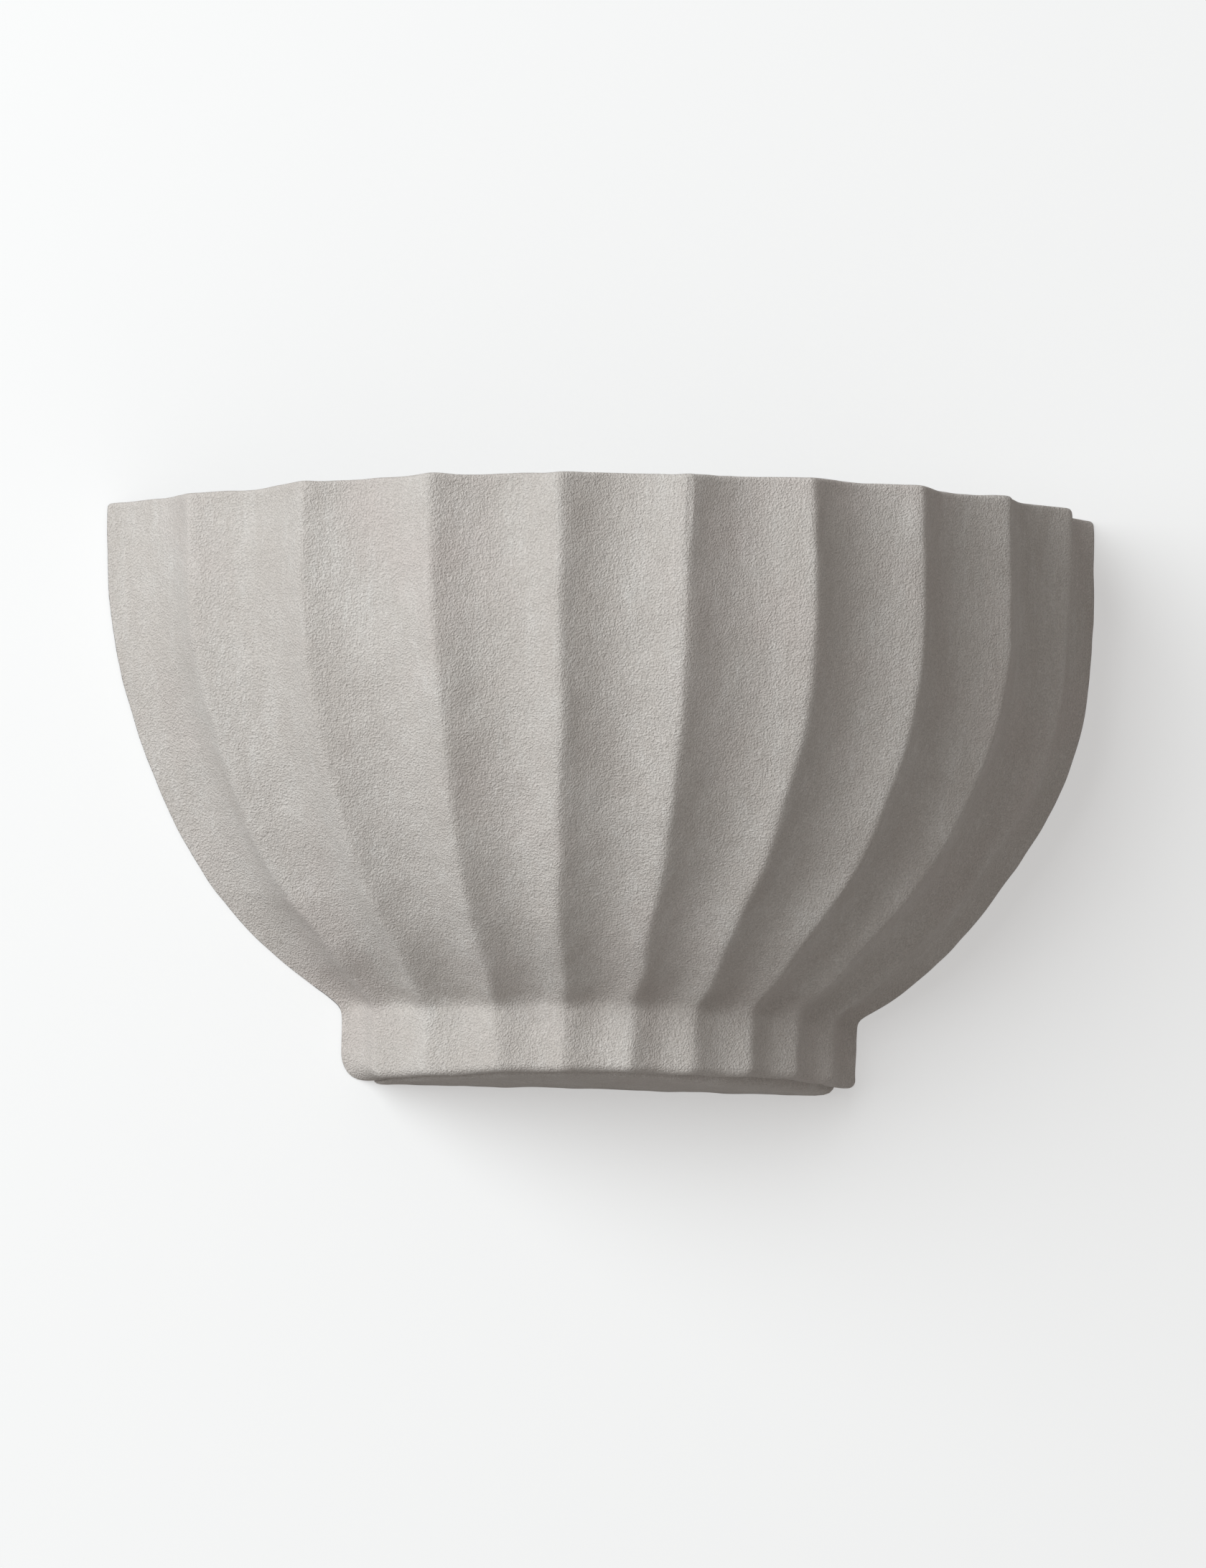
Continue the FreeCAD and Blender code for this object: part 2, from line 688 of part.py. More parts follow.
def pole_places():
    """Across-formulas of the poles."""
    count = int(size("pole_count"))
    return [f"pole_pitch * ( {number} - ( pole_count - 1 ) / 2 )" for number in range(count)]


def make_terminal_block():
    """Moulded block with a brass clamp and two screws for each pole."""
    clamp_y = "( 0 - plate_thick - block_deep / 2 )"
    middle_z = "( block_top - block_tall / 2 )"
    body = block(
        "block_blank", "pole_pitch * pole_count", "block_deep", "block_tall",
        "0 - pole_pitch * pole_count / 2", "0 - plate_thick - block_deep", "block_top - block_tall",
    )
    tools = []
    clamps = []
    screws = []
    for number, across in enumerate(pole_places()):
        tools.append(
            rod(
                f"tunnel_{number}", "clamp_radius + fit", "block_tall + 2 * clamp_inset",
                across, clamp_y, "block_top - block_tall - clamp_inset",
            )
        )
        tube = rod(
            f"clamp_tube_{number}", "clamp_radius", "block_tall - 2 * clamp_inset",
            across, clamp_y, "block_top - block_tall + clamp_inset",
        )
        clamp_tools = [
            rod(
                f"clamp_bore_{number}", "clamp_bore", "block_tall",
                across, clamp_y, "block_top - block_tall",
            )
        ]
        for end, way in (("low", "-"), ("high", "+")):
            height = f"{middle_z} {way} clamp_screw_side"
            tools.append(
                rod(
                    f"screw_well_{number}_{end}", "clamp_screw_head + 2 * fit", "block_deep / 2",
                    across, f"{clamp_y}", height, TOWARDS_FRONT,
                )
            )
            clamp_tools.append(
                rod(
                    f"clamp_thread_{number}_{end}", "clamp_screw_radius + fit", "block_deep / 2",
                    across, clamp_y, height, TOWARDS_FRONT,
                )
            )
            shank = rod(
                f"clamp_shank_{number}_{end}", "clamp_screw_radius",
                "block_deep / 2 - lead_radius - fit",
                across, f"{clamp_y} - lead_radius - fit", height, TOWARDS_FRONT,
            )
            head = rod(
                f"clamp_head_{number}_{end}", "clamp_screw_head",
                "block_deep / 2 - clamp_radius - air",
                across, f"{clamp_y} - clamp_radius - air", height, TOWARDS_FRONT,
            )
            screws.append(join(f"clamp_screw_{number}_{end}", [shank, head]))
        clamps.append(cut(f"clamp_{number}", tube, clamp_tools))
    fixings = []
    for number, sign in enumerate(("( 0 - 1 )", "1")):
        across = f"{sign} * pole_pitch / 2"
        tools.append(
            rod(
                f"fixing_hole_{number}", "fixing_radius + fit", "block_deep",
                across, "0 - plate_thick", middle_z, TOWARDS_FRONT,
            )
        )
        tools.append(
            rod(
                f"fixing_well_{number}", "fixing_head + fit", "block_deep / 4",
                across, "0 - plate_thick - 3 * block_deep / 4", middle_z, TOWARDS_FRONT,
            )
        )
        shank = rod(
            f"fixing_shank_{number}", "fixing_radius", "plate_thick + block_deep * 3 / 4",
            across, "0", middle_z, TOWARDS_FRONT,
        )
        head = rod(
            f"fixing_head_{number}", "fixing_head", "block_deep / 6",
            across, "0 - plate_thick - 3 * block_deep / 4", middle_z, TOWARDS_FRONT,
        )
        fixings.append(join(f"fixing_screw_{number}", [shank, head]))
    keep(cut("block_drilled", body, tools), "terminal_block")
    keep(group("clamp_group", clamps), "terminal_clamps")
    keep(group("clamp_screw_group", screws), "terminal_screws")
    keep(group("fixing_group", fixings), "terminal_fixings")


# ---------------------------------------------------------------- the earth stud


def make_earth_point():
    """Stud pressed in the bracket, with the ring terminal, washer and nut on it."""
    height = "0 - earth_drop"
    stud = rod(
        "earth_stud_bar", "earth_radius", "plate_thick + earth_long",
        "earth_out", "0", height, TOWARDS_FRONT,
    )
    keep(stud, "earth_stud")

    ring_face = "( 0 - plate_thick )"
    eye = rod("ring_eye", "ring_radius", "ring_thick", "earth_out", ring_face, height, TOWARDS_FRONT)
    neck = block(
        "ring_neck", "ring_radius + 2 * ring_thick", "ring_thick", "2 * barrel_radius",
        "earth_out - ring_radius - 2 * ring_thick", f"{ring_face} - ring_thick",
        f"{height} - barrel_radius",
    )
    barrel = rod(
        "ring_barrel", "barrel_radius", "barrel_long",
        "earth_out - ring_radius - ring_thick - barrel_long", f"{ring_face} - barrel_radius", height,
        TOWARDS_RIGHT,
    )
    barrel_bore = rod(
        "ring_barrel_bore", "lead_radius + fit", "barrel_long - ring_thick",
        "earth_out - ring_radius - ring_thick - barrel_long", f"{ring_face} - barrel_radius", height,
        TOWARDS_RIGHT,
    )
    hole = rod(
        "ring_hole", "earth_radius + fit", "4 * ring_thick",
        "earth_out", f"{ring_face} + ring_thick", height, TOWARDS_FRONT,
    )
    blank = join("ring_blank", [eye, neck, barrel])
    keep(cut("ring_cut", blank, [barrel_bore, hole]), "earth_ring")

    washer_face = f"{ring_face} - ring_thick"
    washer = rod(
        "washer_disc", "ring_radius - ring_thick / 2", "earth_washer_thick",
        "earth_out", washer_face, height, TOWARDS_FRONT,
    )
    washer_hole = rod(
        "washer_hole", "earth_radius + fit", "3 * earth_washer_thick",
        "earth_out", f"{washer_face} + earth_washer_thick", height, TOWARDS_FRONT,
    )
    keep(cut("washer_cut", washer, [washer_hole]), "earth_washer")

    nut_face = f"{washer_face} - earth_washer_thick"
    nut = hexagon(
        "earth_hexagon", "earth_nut_flat", "earth_nut_thick",
        "earth_out", nut_face, height, TOWARDS_FRONT,
    )
    nut_hole = rod(
        "earth_nut_hole", "earth_radius + fit", "3 * earth_nut_thick",
        "earth_out", f"{nut_face} + earth_nut_thick", height, TOWARDS_FRONT,
    )
    keep(cut("earth_nut_cut", nut, [nut_hole]), "earth_nut")


# ---------------------------------------------------------------- lamp bracket and lampholder


def make_lamp_bracket():
    """Bent strip: a leg on the wall bracket and a shelf under the lampholder."""
    body = DOC.addObject("PartDesign::Body", "lamp_bracket_body")
    back = "0 - plate_thick"
    profile = [
        (back, "shelf_top - leg_thick"),
        ("0 - lamp_out - shelf_nose", "shelf_top - leg_thick"),
        ("0 - lamp_out - shelf_nose", "shelf_top"),
        (f"{back} - leg_thick", "shelf_top"),
        (f"{back} - leg_thick", "shelf_top + leg_tall"),
        (back, "shelf_top + leg_tall"),
    ]
    sketch = outline(body, "lamp_bracket_profile", "YZ_Plane", profile, "0 - leg_half_width")
    pad(body, "lamp_bracket_pad", sketch, "2 * leg_half_width")
    tools = [
        rod(
            "nipple_hole", "nipple_radius + fit", "3 * leg_thick",
            "0", "0 - lamp_out", "shelf_top - 2 * leg_thick",
        )
    ]
    screws = []
    for number, sign in enumerate(("( 0 - 1 )", "1")):
        across = f"{sign} * leg_screw_side"
        height = "shelf_top + leg_screw_rise"
        tools.append(
            rod(
                f"leg_hole_{number}", "leg_screw_radius + fit", "3 * leg_thick",
                across, "0", height, TOWARDS_FRONT,
            )
        )
        shank = rod(
            f"leg_shank_{number}", "leg_screw_radius", "plate_thick + leg_thick",
            across, "0", height, TOWARDS_FRONT,
        )
        head = rod(
            f"leg_head_{number}", "screw_head_radius", "screw_head_tall",
            across, "0 - plate_thick - leg_thick", height, TOWARDS_FRONT,
        )
        screws.append(join(f"leg_screw_{number}", [shank, head]))
    keep(cut("lamp_bracket_drilled", body, tools), "lamp_bracket")
    keep(group("leg_screw_group", screws), "lamp_bracket_screws")


def make_lampholder():
    """Porcelain lampholder with its brass sleeve, centre contact, nipple and nut."""
    top = "shelf_top + holder_tall"
    floor = "shelf_top + holder_floor"
    body = turned(
        "holder_body",
        [
            ("nipple_radius + fit", "shelf_top"),
            ("holder_foot_radius", "shelf_top"),
            ("holder_foot_radius", "shelf_top + holder_foot_tall"),
            ("holder_radius", "shelf_top + holder_foot_tall + holder_radius - holder_foot_radius"),
            ("holder_radius", f"{top} - holder_chamfer"),
            ("holder_radius - holder_chamfer", top),
            ("socket_bore", top),
            ("socket_bore", floor),
            ("nipple_bore", floor),
            ("nipple_bore", "shelf_top + nipple_grip"),
            ("nipple_radius + fit", "shelf_top + nipple_grip"),
        ],
    )
    ports = []
    for number, across in enumerate(pole_places()[:2]):
        ports.append(
            rod(
                f"lead_port_{number}", "lead_radius + fit", "lead_grip",
                f"{across} + pole_pitch / 2", "0 - lamp_out + holder_foot_radius + fit",
                "shelf_top + lead_port_height", TOWARDS_FRONT,
            )
        )
    keep(cut("holder_drilled", body, ports), "lampholder_body")

    sleeve_foot = f"{top} - sleeve_tall - sleeve_drop"
    sleeve = turned(
        "holder_sleeve",
        [
            ("socket_bore - fit - sleeve_thick", sleeve_foot),
            ("socket_bore - fit", sleeve_foot),
            ("socket_bore - fit", f"{sleeve_foot} + sleeve_tall"),
            ("socket_bore - fit - sleeve_thick", f"{sleeve_foot} + sleeve_tall"),
        ],
    )
    keep(sleeve, "lampholder_sleeve")

    seat = "( shelf_top + holder_tall - bulb_seated )"
    tongue = DOC.addObject("PartDesign::Body", "tongue_body")
    half = "tongue_long / 2"
    front = f"0 - lamp_out - {half}"
    back = f"0 - lamp_out + {half}"
    rise_front = f"{front} + tongue_thick"
    profile = [
        (back, floor),
        (back, f"{floor} + tongue_thick"),
        (rise_front, f"{floor} + tongue_thick"),
        (rise_front, f"{seat} - fit - tongue_thick"),
        (back, f"{seat} - fit - tongue_thick"),
        (back, f"{seat} - fit"),
        (front, f"{seat} - fit"),
        (front, floor),
    ]
    sketch = outline(tongue, "tongue_profile", "YZ_Plane", profile, "0 - tongue_wide / 2")
    pad(tongue, "tongue_pad", sketch, "tongue_wide")
    keep(tongue, "lampholder_contact")

    nipple = turned(
        "nipple_tube",
        [
            ("nipple_bore", "shelf_top - leg_thick - nipple_tail"),
            ("nipple_radius", "shelf_top - leg_thick - nipple_tail"),
            ("nipple_radius", "shelf_top + nipple_grip"),
            ("nipple_bore", "shelf_top + nipple_grip"),
        ],
    )
    keep(nipple, "lampholder_nipple")
    nut = hexagon(
        "nipple_hexagon", "nut_flat", "nut_thick",
        "0", "0 - lamp_out", "shelf_top - leg_thick - nut_thick",
    )
    nut_hole = rod(
        "nipple_nut_hole", "nipple_radius + fit", "3 * nut_thick",
        "0", "0 - lamp_out", "shelf_top - leg_thick - 2 * nut_thick",
    )
    keep(cut("nipple_nut_cut", nut, [nut_hole]), "lampholder_nut")


# ---------------------------------------------------------------- the bulb


def make_bulb():
    """Screw-cap bulb: contact, insulator, cap, housing, boards and opal globe."""
    foot = "( shelf_top + holder_tall - bulb_seated )"
    insulator_foot = f"( {foot} + cap_contact_tall )"
    cap_foot = f"( {insulator_foot} + cap_insulator_tall )"
    cap_top = f"( {cap_foot} + cap_tall )"
    cap_bore = "( cap_radius - cap_thick )"
    housing_top = f"( {cap_top} + housing_tall )"
    neck_foot = f"( {cap_top} - housing_plug )"
    contact = turned(
        "bulb_contact_disc",
        [
            ("0", foot),
            ("cap_contact_radius", foot),
            ("cap_contact_radius", insulator_foot),
            ("0", insulator_foot),
        ],
    )
    keep(contact, "bulb_contact")
    insulator = turned(
        "bulb_insulator_cone",
        [
            ("0", insulator_foot),
            ("cap_contact_radius", insulator_foot),
            (f"{cap_bore} - insulator_plug", cap_foot),
            (f"{cap_bore} - fit", cap_foot),
            (f"{cap_bore} - fit", f"{cap_foot} + insulator_plug"),
            ("0", f"{cap_foot} + insulator_plug"),
        ],
    )
    keep(insulator, "bulb_insulator")
    cap = turned(
        "bulb_cap_tube",
        [
            (cap_bore, cap_foot),
            ("cap_radius", cap_foot),
            ("cap_radius", cap_top),
            (cap_bore, cap_top),
        ],
    )
    keep(cap, "bulb_cap")
    housing = turned(
        "bulb_housing_cone",
        [
            (f"{cap_bore} - fit - housing_wall", neck_foot),
            (f"{cap_bore} - fit", neck_foot),
            (f"{cap_bore} - fit", cap_top),
            ("cap_radius", cap_top),
            ("housing_radius", f"{housing_top} - housing_shoulder"),
            ("housing_radius", housing_top),
            ("housing_radius - housing_wall", housing_top),
            ("housing_radius - housing_wall", f"{housing_top} - housing_seat"),
            ("housing_radius - 2 * housing_wall", f"{housing_top} - housing_seat"),
            ("housing_radius - 2 * housing_wall", f"{housing_top} - housing_shoulder"),
            (f"{cap_bore} - fit - housing_wall", cap_top),
        ],
    )
    keep(housing, "bulb_housing")
    board = rod(
        "led_disc", "housing_radius - housing_wall - fit", "led_board_thick",
        "0", "0 - lamp_out", f"{housing_top} - housing_seat",
    )
    keep(board, "bulb_led_board")
    driver = block(
        "driver_card", "driver_board_wide", "driver_board_thick", "driver_board_tall",
        "0 - driver_board_wide / 2", "0 - lamp_out - driver_board_thick / 2", f"{cap_foot} + insulator_plug",
    )
    keep(driver, "bulb_driver_board")

    globe_foot = f"( {housing_top} - housing_seat + led_board_thick )"
    centre = f"( {foot} + bulb_long - bulb_radius )"
    waist = f"( {centre} - bulb_radius / 4 )"
    solids = []
    for name, inset in (("outer", "0"), ("inner", "globe_wall")):
        dome = ball(f"globe_ball_{name}", f"bulb_radius - {inset}", "0", "0 - lamp_out", centre)
        skirt_cut = block(
            f"globe_trim_{name}", "4 * bulb_radius", "4 * bulb_radius", "2 * bulb_radius",
            "0 - 2 * bulb_radius", "0 - lamp_out - 2 * bulb_radius", f"{waist} - 2 * bulb_radius",
        )
        collar_radius = f"housing_radius - housing_wall - fit - {inset}"
        collar = rod(
            f"globe_collar_{name}", collar_radius, f"{housing_top} - {globe_foot}",
            "0", "0 - lamp_out", globe_foot,
        )
        cone = taper(
            f"globe_cone_{name}",
            collar_radius,
            f"15 ^ 0.5 / 4 * bulb_radius - {inset}",
            f"{waist} - {housing_top}",
            "0", "0 - lamp_out", housing_top,
        )
        trimmed = cut(f"globe_dome_{name}", dome, [skirt_cut])
        solids.append(join(f"globe_{name}", [trimmed, cone, collar]))
    keep(cut("globe_shell", solids[0], [solids[1]]), "bulb_globe")


# ---------------------------------------------------------------- leads


def lead_solid(points):
    """A lead of straight runs joined by tangent arcs, each as large as its runs allow."""
    corners = [FreeCAD.Vector(*point) for point in points]
    edges = []
    radii = []
    start = corners[0]
    for before, corner, after in zip(corners, corners[1:], corners[2:]):
        way_in = (corner - before).normalize()
        way_out = (after - corner).normalize()
        turn = way_in.getAngle(way_out)
        shorter = min((corner - before).Length, (after - corner).Length)
        radius = 0.45 * shorter / math.tan(turn / 2.0)
        trim = radius * math.tan(turn / 2.0)
        arc_start = corner - way_in * trim
        arc_end = corner + way_out * trim
        towards = (way_out - way_in).normalize()
        middle = corner + towards * (radius / math.cos(turn / 2.0) - radius)
        edges.append(Part.makeLine(start, arc_start))
        edges.append(Part.Arc(arc_start, middle, arc_end).toShape())
        radii.append(round(radius, 1))
        start = arc_end
    edges.append(Part.makeLine(start, corners[-1]))
    path = Part.Wire(edges)
    first_way = corners[1] - corners[0]
    ring = Part.Wire([Part.makeCircle(size("lead_radius"), corners[0], first_way)])
    solid = path.makePipeShell([ring], True, False)
    section = math.pi * size("lead_radius") ** 2
    print("lead radii", radii, "volume share", round(solid.Volume / (section * path.Length), 4))
    return solid


def make_leads():
    """Live and neutral from the block to the lampholder, earth to its ring terminal."""
    clamp_y = -size("plate_thick") - size("block_deep") / 2
    block_foot = size("block_top") - size("block_tall")
    pitch = size("pole_pitch")
    grip = size("lead_grip")
    port_z = size("shelf_top") + size("lead_port_height")
    port_y = -size("lamp_out") + size("holder_foot_radius")
    for node, pole, port in (
        ("line_lead", -pitch, -pitch / 2),
        ("neutral_lead", 0.0, pitch / 2),
    ):
        start = (pole, clamp_y, block_foot + size("clamp_inset") + grip)
        hang = (pole, clamp_y, block_foot - size("lead_drop"))
        knee_x = pole * 0.7 + port * 0.3
        knee = (knee_x, clamp_y - size("lead_bow"), port_z + size("lead_knee"))
        reach = (port, port_y + size("lead_run_in"), port_z)
        end = (port, port_y - grip + size("air"), port_z)
        feature = DOC.addObject("Part::Feature", node)
        feature.Shape = lead_solid([start, hang, knee, reach, end])
        feature.Placement = FreeCAD.Placement()
        keep(feature, node)
    barrel_mouth = size("earth_out") - size("ring_radius") - size("ring_thick") - size("barrel_long")
    barrel_y = -size("plate_thick") - size("barrel_radius")
    earth_z = -size("earth_drop")
    start = (pitch, clamp_y, block_foot + size("clamp_inset") + grip)
    hang = (pitch, clamp_y, block_foot - size("earth_lead_drop"))
    turn_in = (barrel_mouth - size("earth_lead_run_in"), barrel_y, earth_z)
    end = (barrel_mouth + size("barrel_long") - 2 * size("ring_thick"), barrel_y, earth_z)
    feature = DOC.addObject("Part::Feature", "earth_lead")
    feature.Shape = lead_solid([start, hang, turn_in, end])
    feature.Placement = FreeCAD.Placement()
    keep(feature, "earth_lead")


# ---------------------------------------------------------------- build, check and write


def check_document():
    """Stop if any feature failed or any sub-part is not a valid solid."""
    for feature in DOC.Objects:
        if "Invalid" in feature.State or "Error" in feature.State:
            raise RuntimeError(f"{feature.Name} failed: {feature.State}")
    for feature in NODES:
        shape = feature.Shape
        if shape.isNull() or not shape.isValid() or not shape.Solids:
            raise RuntimeError(f"{feature.Label} is not a valid solid")


def write_parts():
    """Write each sub-part to a STEP file of its own."""
    os.makedirs("parts", exist_ok=True)
    for feature in NODES:
        feature.Shape.exportStep(f"parts/{feature.Label}.step")


make_shell()
make_hangers()
make_hanger_fasteners()
make_wall_bracket()
make_cable_bush()
make_terminal_block()
make_earth_point()
make_lamp_bracket()
make_lampholder()
make_bulb()
make_leads()
DOC.recompute()
check_document()
write_parts()
for feature in NODES:
    box = feature.Shape.BoundBox
    print(
        f"{feature.Label:22s} {len(feature.Shape.Solids)} solids {feature.Shape.Volume:10.1f} mm3"
        f"  x {box.XMin:.1f}..{box.XMax:.1f}  y {box.YMin:.1f}..{box.YMax:.1f}"
        f"  z {box.ZMin:.1f}..{box.ZMax:.1f}"
    )
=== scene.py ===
"""Fluted half-bowl wall light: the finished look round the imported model.

The cast shell is a hand-finished form, so it replaces its plain solid. The bracket, lampholder,
bulb and wiring keep their solids and get their finishes here. Metres, +Z up, the wall is Y = 0.
"""

import logging
import math
from dataclasses import dataclass, replace
from enum import Enum
from typing import Union

import bmesh
import bpy
from mathutils import Matrix, Vector, noise
from mathutils.bvhtree import BVHTree


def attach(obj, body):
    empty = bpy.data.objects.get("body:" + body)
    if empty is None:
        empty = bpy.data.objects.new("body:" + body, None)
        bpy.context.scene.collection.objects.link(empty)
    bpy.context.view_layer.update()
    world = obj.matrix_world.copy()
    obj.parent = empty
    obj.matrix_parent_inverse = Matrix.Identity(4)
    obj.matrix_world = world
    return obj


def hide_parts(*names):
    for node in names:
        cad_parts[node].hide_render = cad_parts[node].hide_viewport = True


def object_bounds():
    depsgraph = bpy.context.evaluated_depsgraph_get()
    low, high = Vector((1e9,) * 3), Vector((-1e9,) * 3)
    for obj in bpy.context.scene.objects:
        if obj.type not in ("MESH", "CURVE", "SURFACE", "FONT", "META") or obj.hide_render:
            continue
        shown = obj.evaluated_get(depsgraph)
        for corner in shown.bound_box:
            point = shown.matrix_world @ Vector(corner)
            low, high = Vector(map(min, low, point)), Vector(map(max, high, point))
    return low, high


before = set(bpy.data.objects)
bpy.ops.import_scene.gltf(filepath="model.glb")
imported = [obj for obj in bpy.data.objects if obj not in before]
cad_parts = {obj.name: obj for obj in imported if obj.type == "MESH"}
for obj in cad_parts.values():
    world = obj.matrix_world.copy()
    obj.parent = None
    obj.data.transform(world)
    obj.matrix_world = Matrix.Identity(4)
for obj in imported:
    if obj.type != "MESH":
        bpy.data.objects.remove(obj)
CAD_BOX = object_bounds()
LOG = logging.getLogger("wall_light")
MM = 0.001
RIM_HEIGHT = 110.0 * MM

Colour = tuple[float, float, float]
Value = Union[bpy.types.NodeSocket, float]
Tint = Union[bpy.types.NodeSocket, Colour]


class Socket(Enum):
    """Kinds of socket on a shared node group."""

    NUMBER = "NodeSocketFloat"
    COLOUR = "NodeSocketColor"


class Maths(Enum):
    """Ways of combining two values."""

    ADD = "ADD"
    SUBTRACT = "SUBTRACT"
    MULTIPLY = "MULTIPLY"
    MAXIMUM = "MAXIMUM"


def smooth(share: float) -> float:
    """Ease a share from 0 to 1.

    Args:
        share: any number; it is clamped first.

    Returns:
        The eased share.
    """
    share = min(max(share, 0.0), 1.0)
    return share * share * (3.0 - 2.0 * share)


def ripple(place: Vector, scale: float, seed: float) -> float:
    """Smooth noise between about -1 and 1.

    Args:
        place: point in metres.
        scale: size of the ripples in metres.
        seed: moves the pattern, so that two ripples differ.

    Returns:
        The noise at the point.
    """
    return noise.noise(place / scale + Vector((seed, -seed, 2.0 * seed)))


# ------------------------------------------------------------------ materials


@dataclass(frozen=True)
class Layer:
    """One noise of a finish: ripples per metre, octaves, and the values that become 0 and 1."""

    scale: float
    detail: float
    rough: float
    low: float = 0.0
    high: float = 1.0


class NodeSheet:
    """A small helper that adds and wires shader nodes in one tree."""

    def __init__(self, tree: bpy.types.NodeTree) -> None:
        """Keep the tree to work in."""
        self.tree = tree

    def add(self, kind: str, **settings: object) -> bpy.types.Node:
        """Add a node.

        Args:
            kind: the node's type name.
            settings: attributes set on it.

        Returns:
            The new node.
        """
        node = self.tree.nodes.new(kind)
        for name, value in settings.items():
            setattr(node, name, value)
        return node

    def wire(self, source: bpy.types.NodeSocket, target: bpy.types.NodeSocket) -> None:
        """Link two sockets."""
        self.tree.links.new(source, target)

    def noise(self, where: bpy.types.NodeSocket, layer: Layer) -> bpy.types.NodeSocket:
        """Add a noise texture.

        Args:
            where: coordinates socket.
            layer: its scale, octaves and roughness.

        Returns:
            Its value socket, as the noise gives it.
        """
        node = self.add("ShaderNodeTexNoise")
        node.inputs["Scale"].default_value = layer.scale
        node.inputs["Detail"].default_value = layer.detail
        node.inputs["Roughness"].default_value = layer.rough
        self.wire(where, node.inputs["Vector"])
        return node.outputs["Fac"]

    def spread(
        self, value: bpy.types.NodeSocket, low: float, high: float
    ) -> bpy.types.NodeSocket:
        """Stretch a value so that low becomes 0 and high becomes 1.

        Args:
            value: the incoming socket.
            low: value that becomes 0.
            high: value that becomes 1.

        Returns:
            The stretched socket.
        """
        node = self.add("ShaderNodeMapRange")
        node.inputs["From Min"].default_value = low
        node.inputs["From Max"].default_value = high
        self.wire(value, node.inputs["Value"])
        return node.outputs["Result"]

    def mask(self, where: bpy.types.NodeSocket, layer: Layer) -> bpy.types.NodeSocket:
        """Add a noise and stretch it between the layer's low and high."""
        return self.spread(self.noise(where, layer), layer.low, layer.high)

    def maths(self, way: Maths, first: Value, second: Value) -> bpy.types.NodeSocket:
        """Combine two values.

        Args:
            way: how they are combined.
            first: socket or number.
            second: socket or number.

        Returns:
            The result socket.
        """
        node = self.add("ShaderNodeMath", operation=way.value)
        for index, value in enumerate((first, second)):
            if isinstance(value, (int, float)):
                node.inputs[index].default_value = value
            else:
                self.wire(value, node.inputs[index])
        return node.outputs["Value"]

    def times(self, first: Value, second: Value) -> bpy.types.NodeSocket:
        """Multiply two values."""
        return self.maths(Maths.MULTIPLY, first, second)

    def plus(self, first: Value, second: Value) -> bpy.types.NodeSocket:
        """Add two values."""
        return self.maths(Maths.ADD, first, second)

    def blend(self, share: Value, first: Tint, second: Tint) -> bpy.types.NodeSocket:
        """Mix two colours.

        Args:
            share: socket or number, 0 gives the first colour.
            first: socket or (r, g, b).
            second: socket or (r, g, b).

        Returns:
            The mixed colour socket.
        """
        node = self.add("ShaderNodeMix", data_type="RGBA")
        for index, value in ((0, share), (6, first), (7, second)):
            if isinstance(value, tuple):
                node.inputs[index].default_value = (*value, 1.0)
            elif isinstance(value, (int, float)):
                node.inputs[index].default_value = value
            else:
                self.wire(value, node.inputs[index])
        return node.outputs[2]

    def seen_share(self) -> bpy.types.NodeSocket:
        """Tell the rays that look at a backdrop from those that carry light.

        Returns:
            A socket that is 1 for camera, glossy and transmission rays, and 0 for the rest.
        """
        path = self.add("ShaderNodeLightPath")
        camera, glossy, through = (
            path.outputs[f"Is {kind} Ray"] for kind in ("Camera", "Glossy", "Transmission")
        )
        return self.maths(Maths.MAXIMUM, self.maths(Maths.MAXIMUM, camera, glossy), through)


def new_group(
    name: str, inputs: dict[str, tuple[Socket, object]], outputs: dict[str, Socket]
) -> tuple[bpy.types.NodeTree, bpy.types.Node, bpy.types.Node]:
    """Make an empty shader node group.

    Args:
        name: name of the group.
        inputs: socket kind and default for each input.
        outputs: socket kind for each output.

    Returns:
        The tree, its input node and its output node.
    """
    tree = bpy.data.node_groups.new(name, "ShaderNodeTree")
    for label, (kind, value) in inputs.items():
        socket = tree.interface.new_socket(name=label, in_out="INPUT", socket_type=kind.value)
        socket.default_value = value
    for label, kind in outputs.items():
        tree.interface.new_socket(name=label, in_out="OUTPUT", socket_type=kind.value)
    return tree, tree.nodes.new("NodeGroupInput"), tree.nodes.new("NodeGroupOutput")


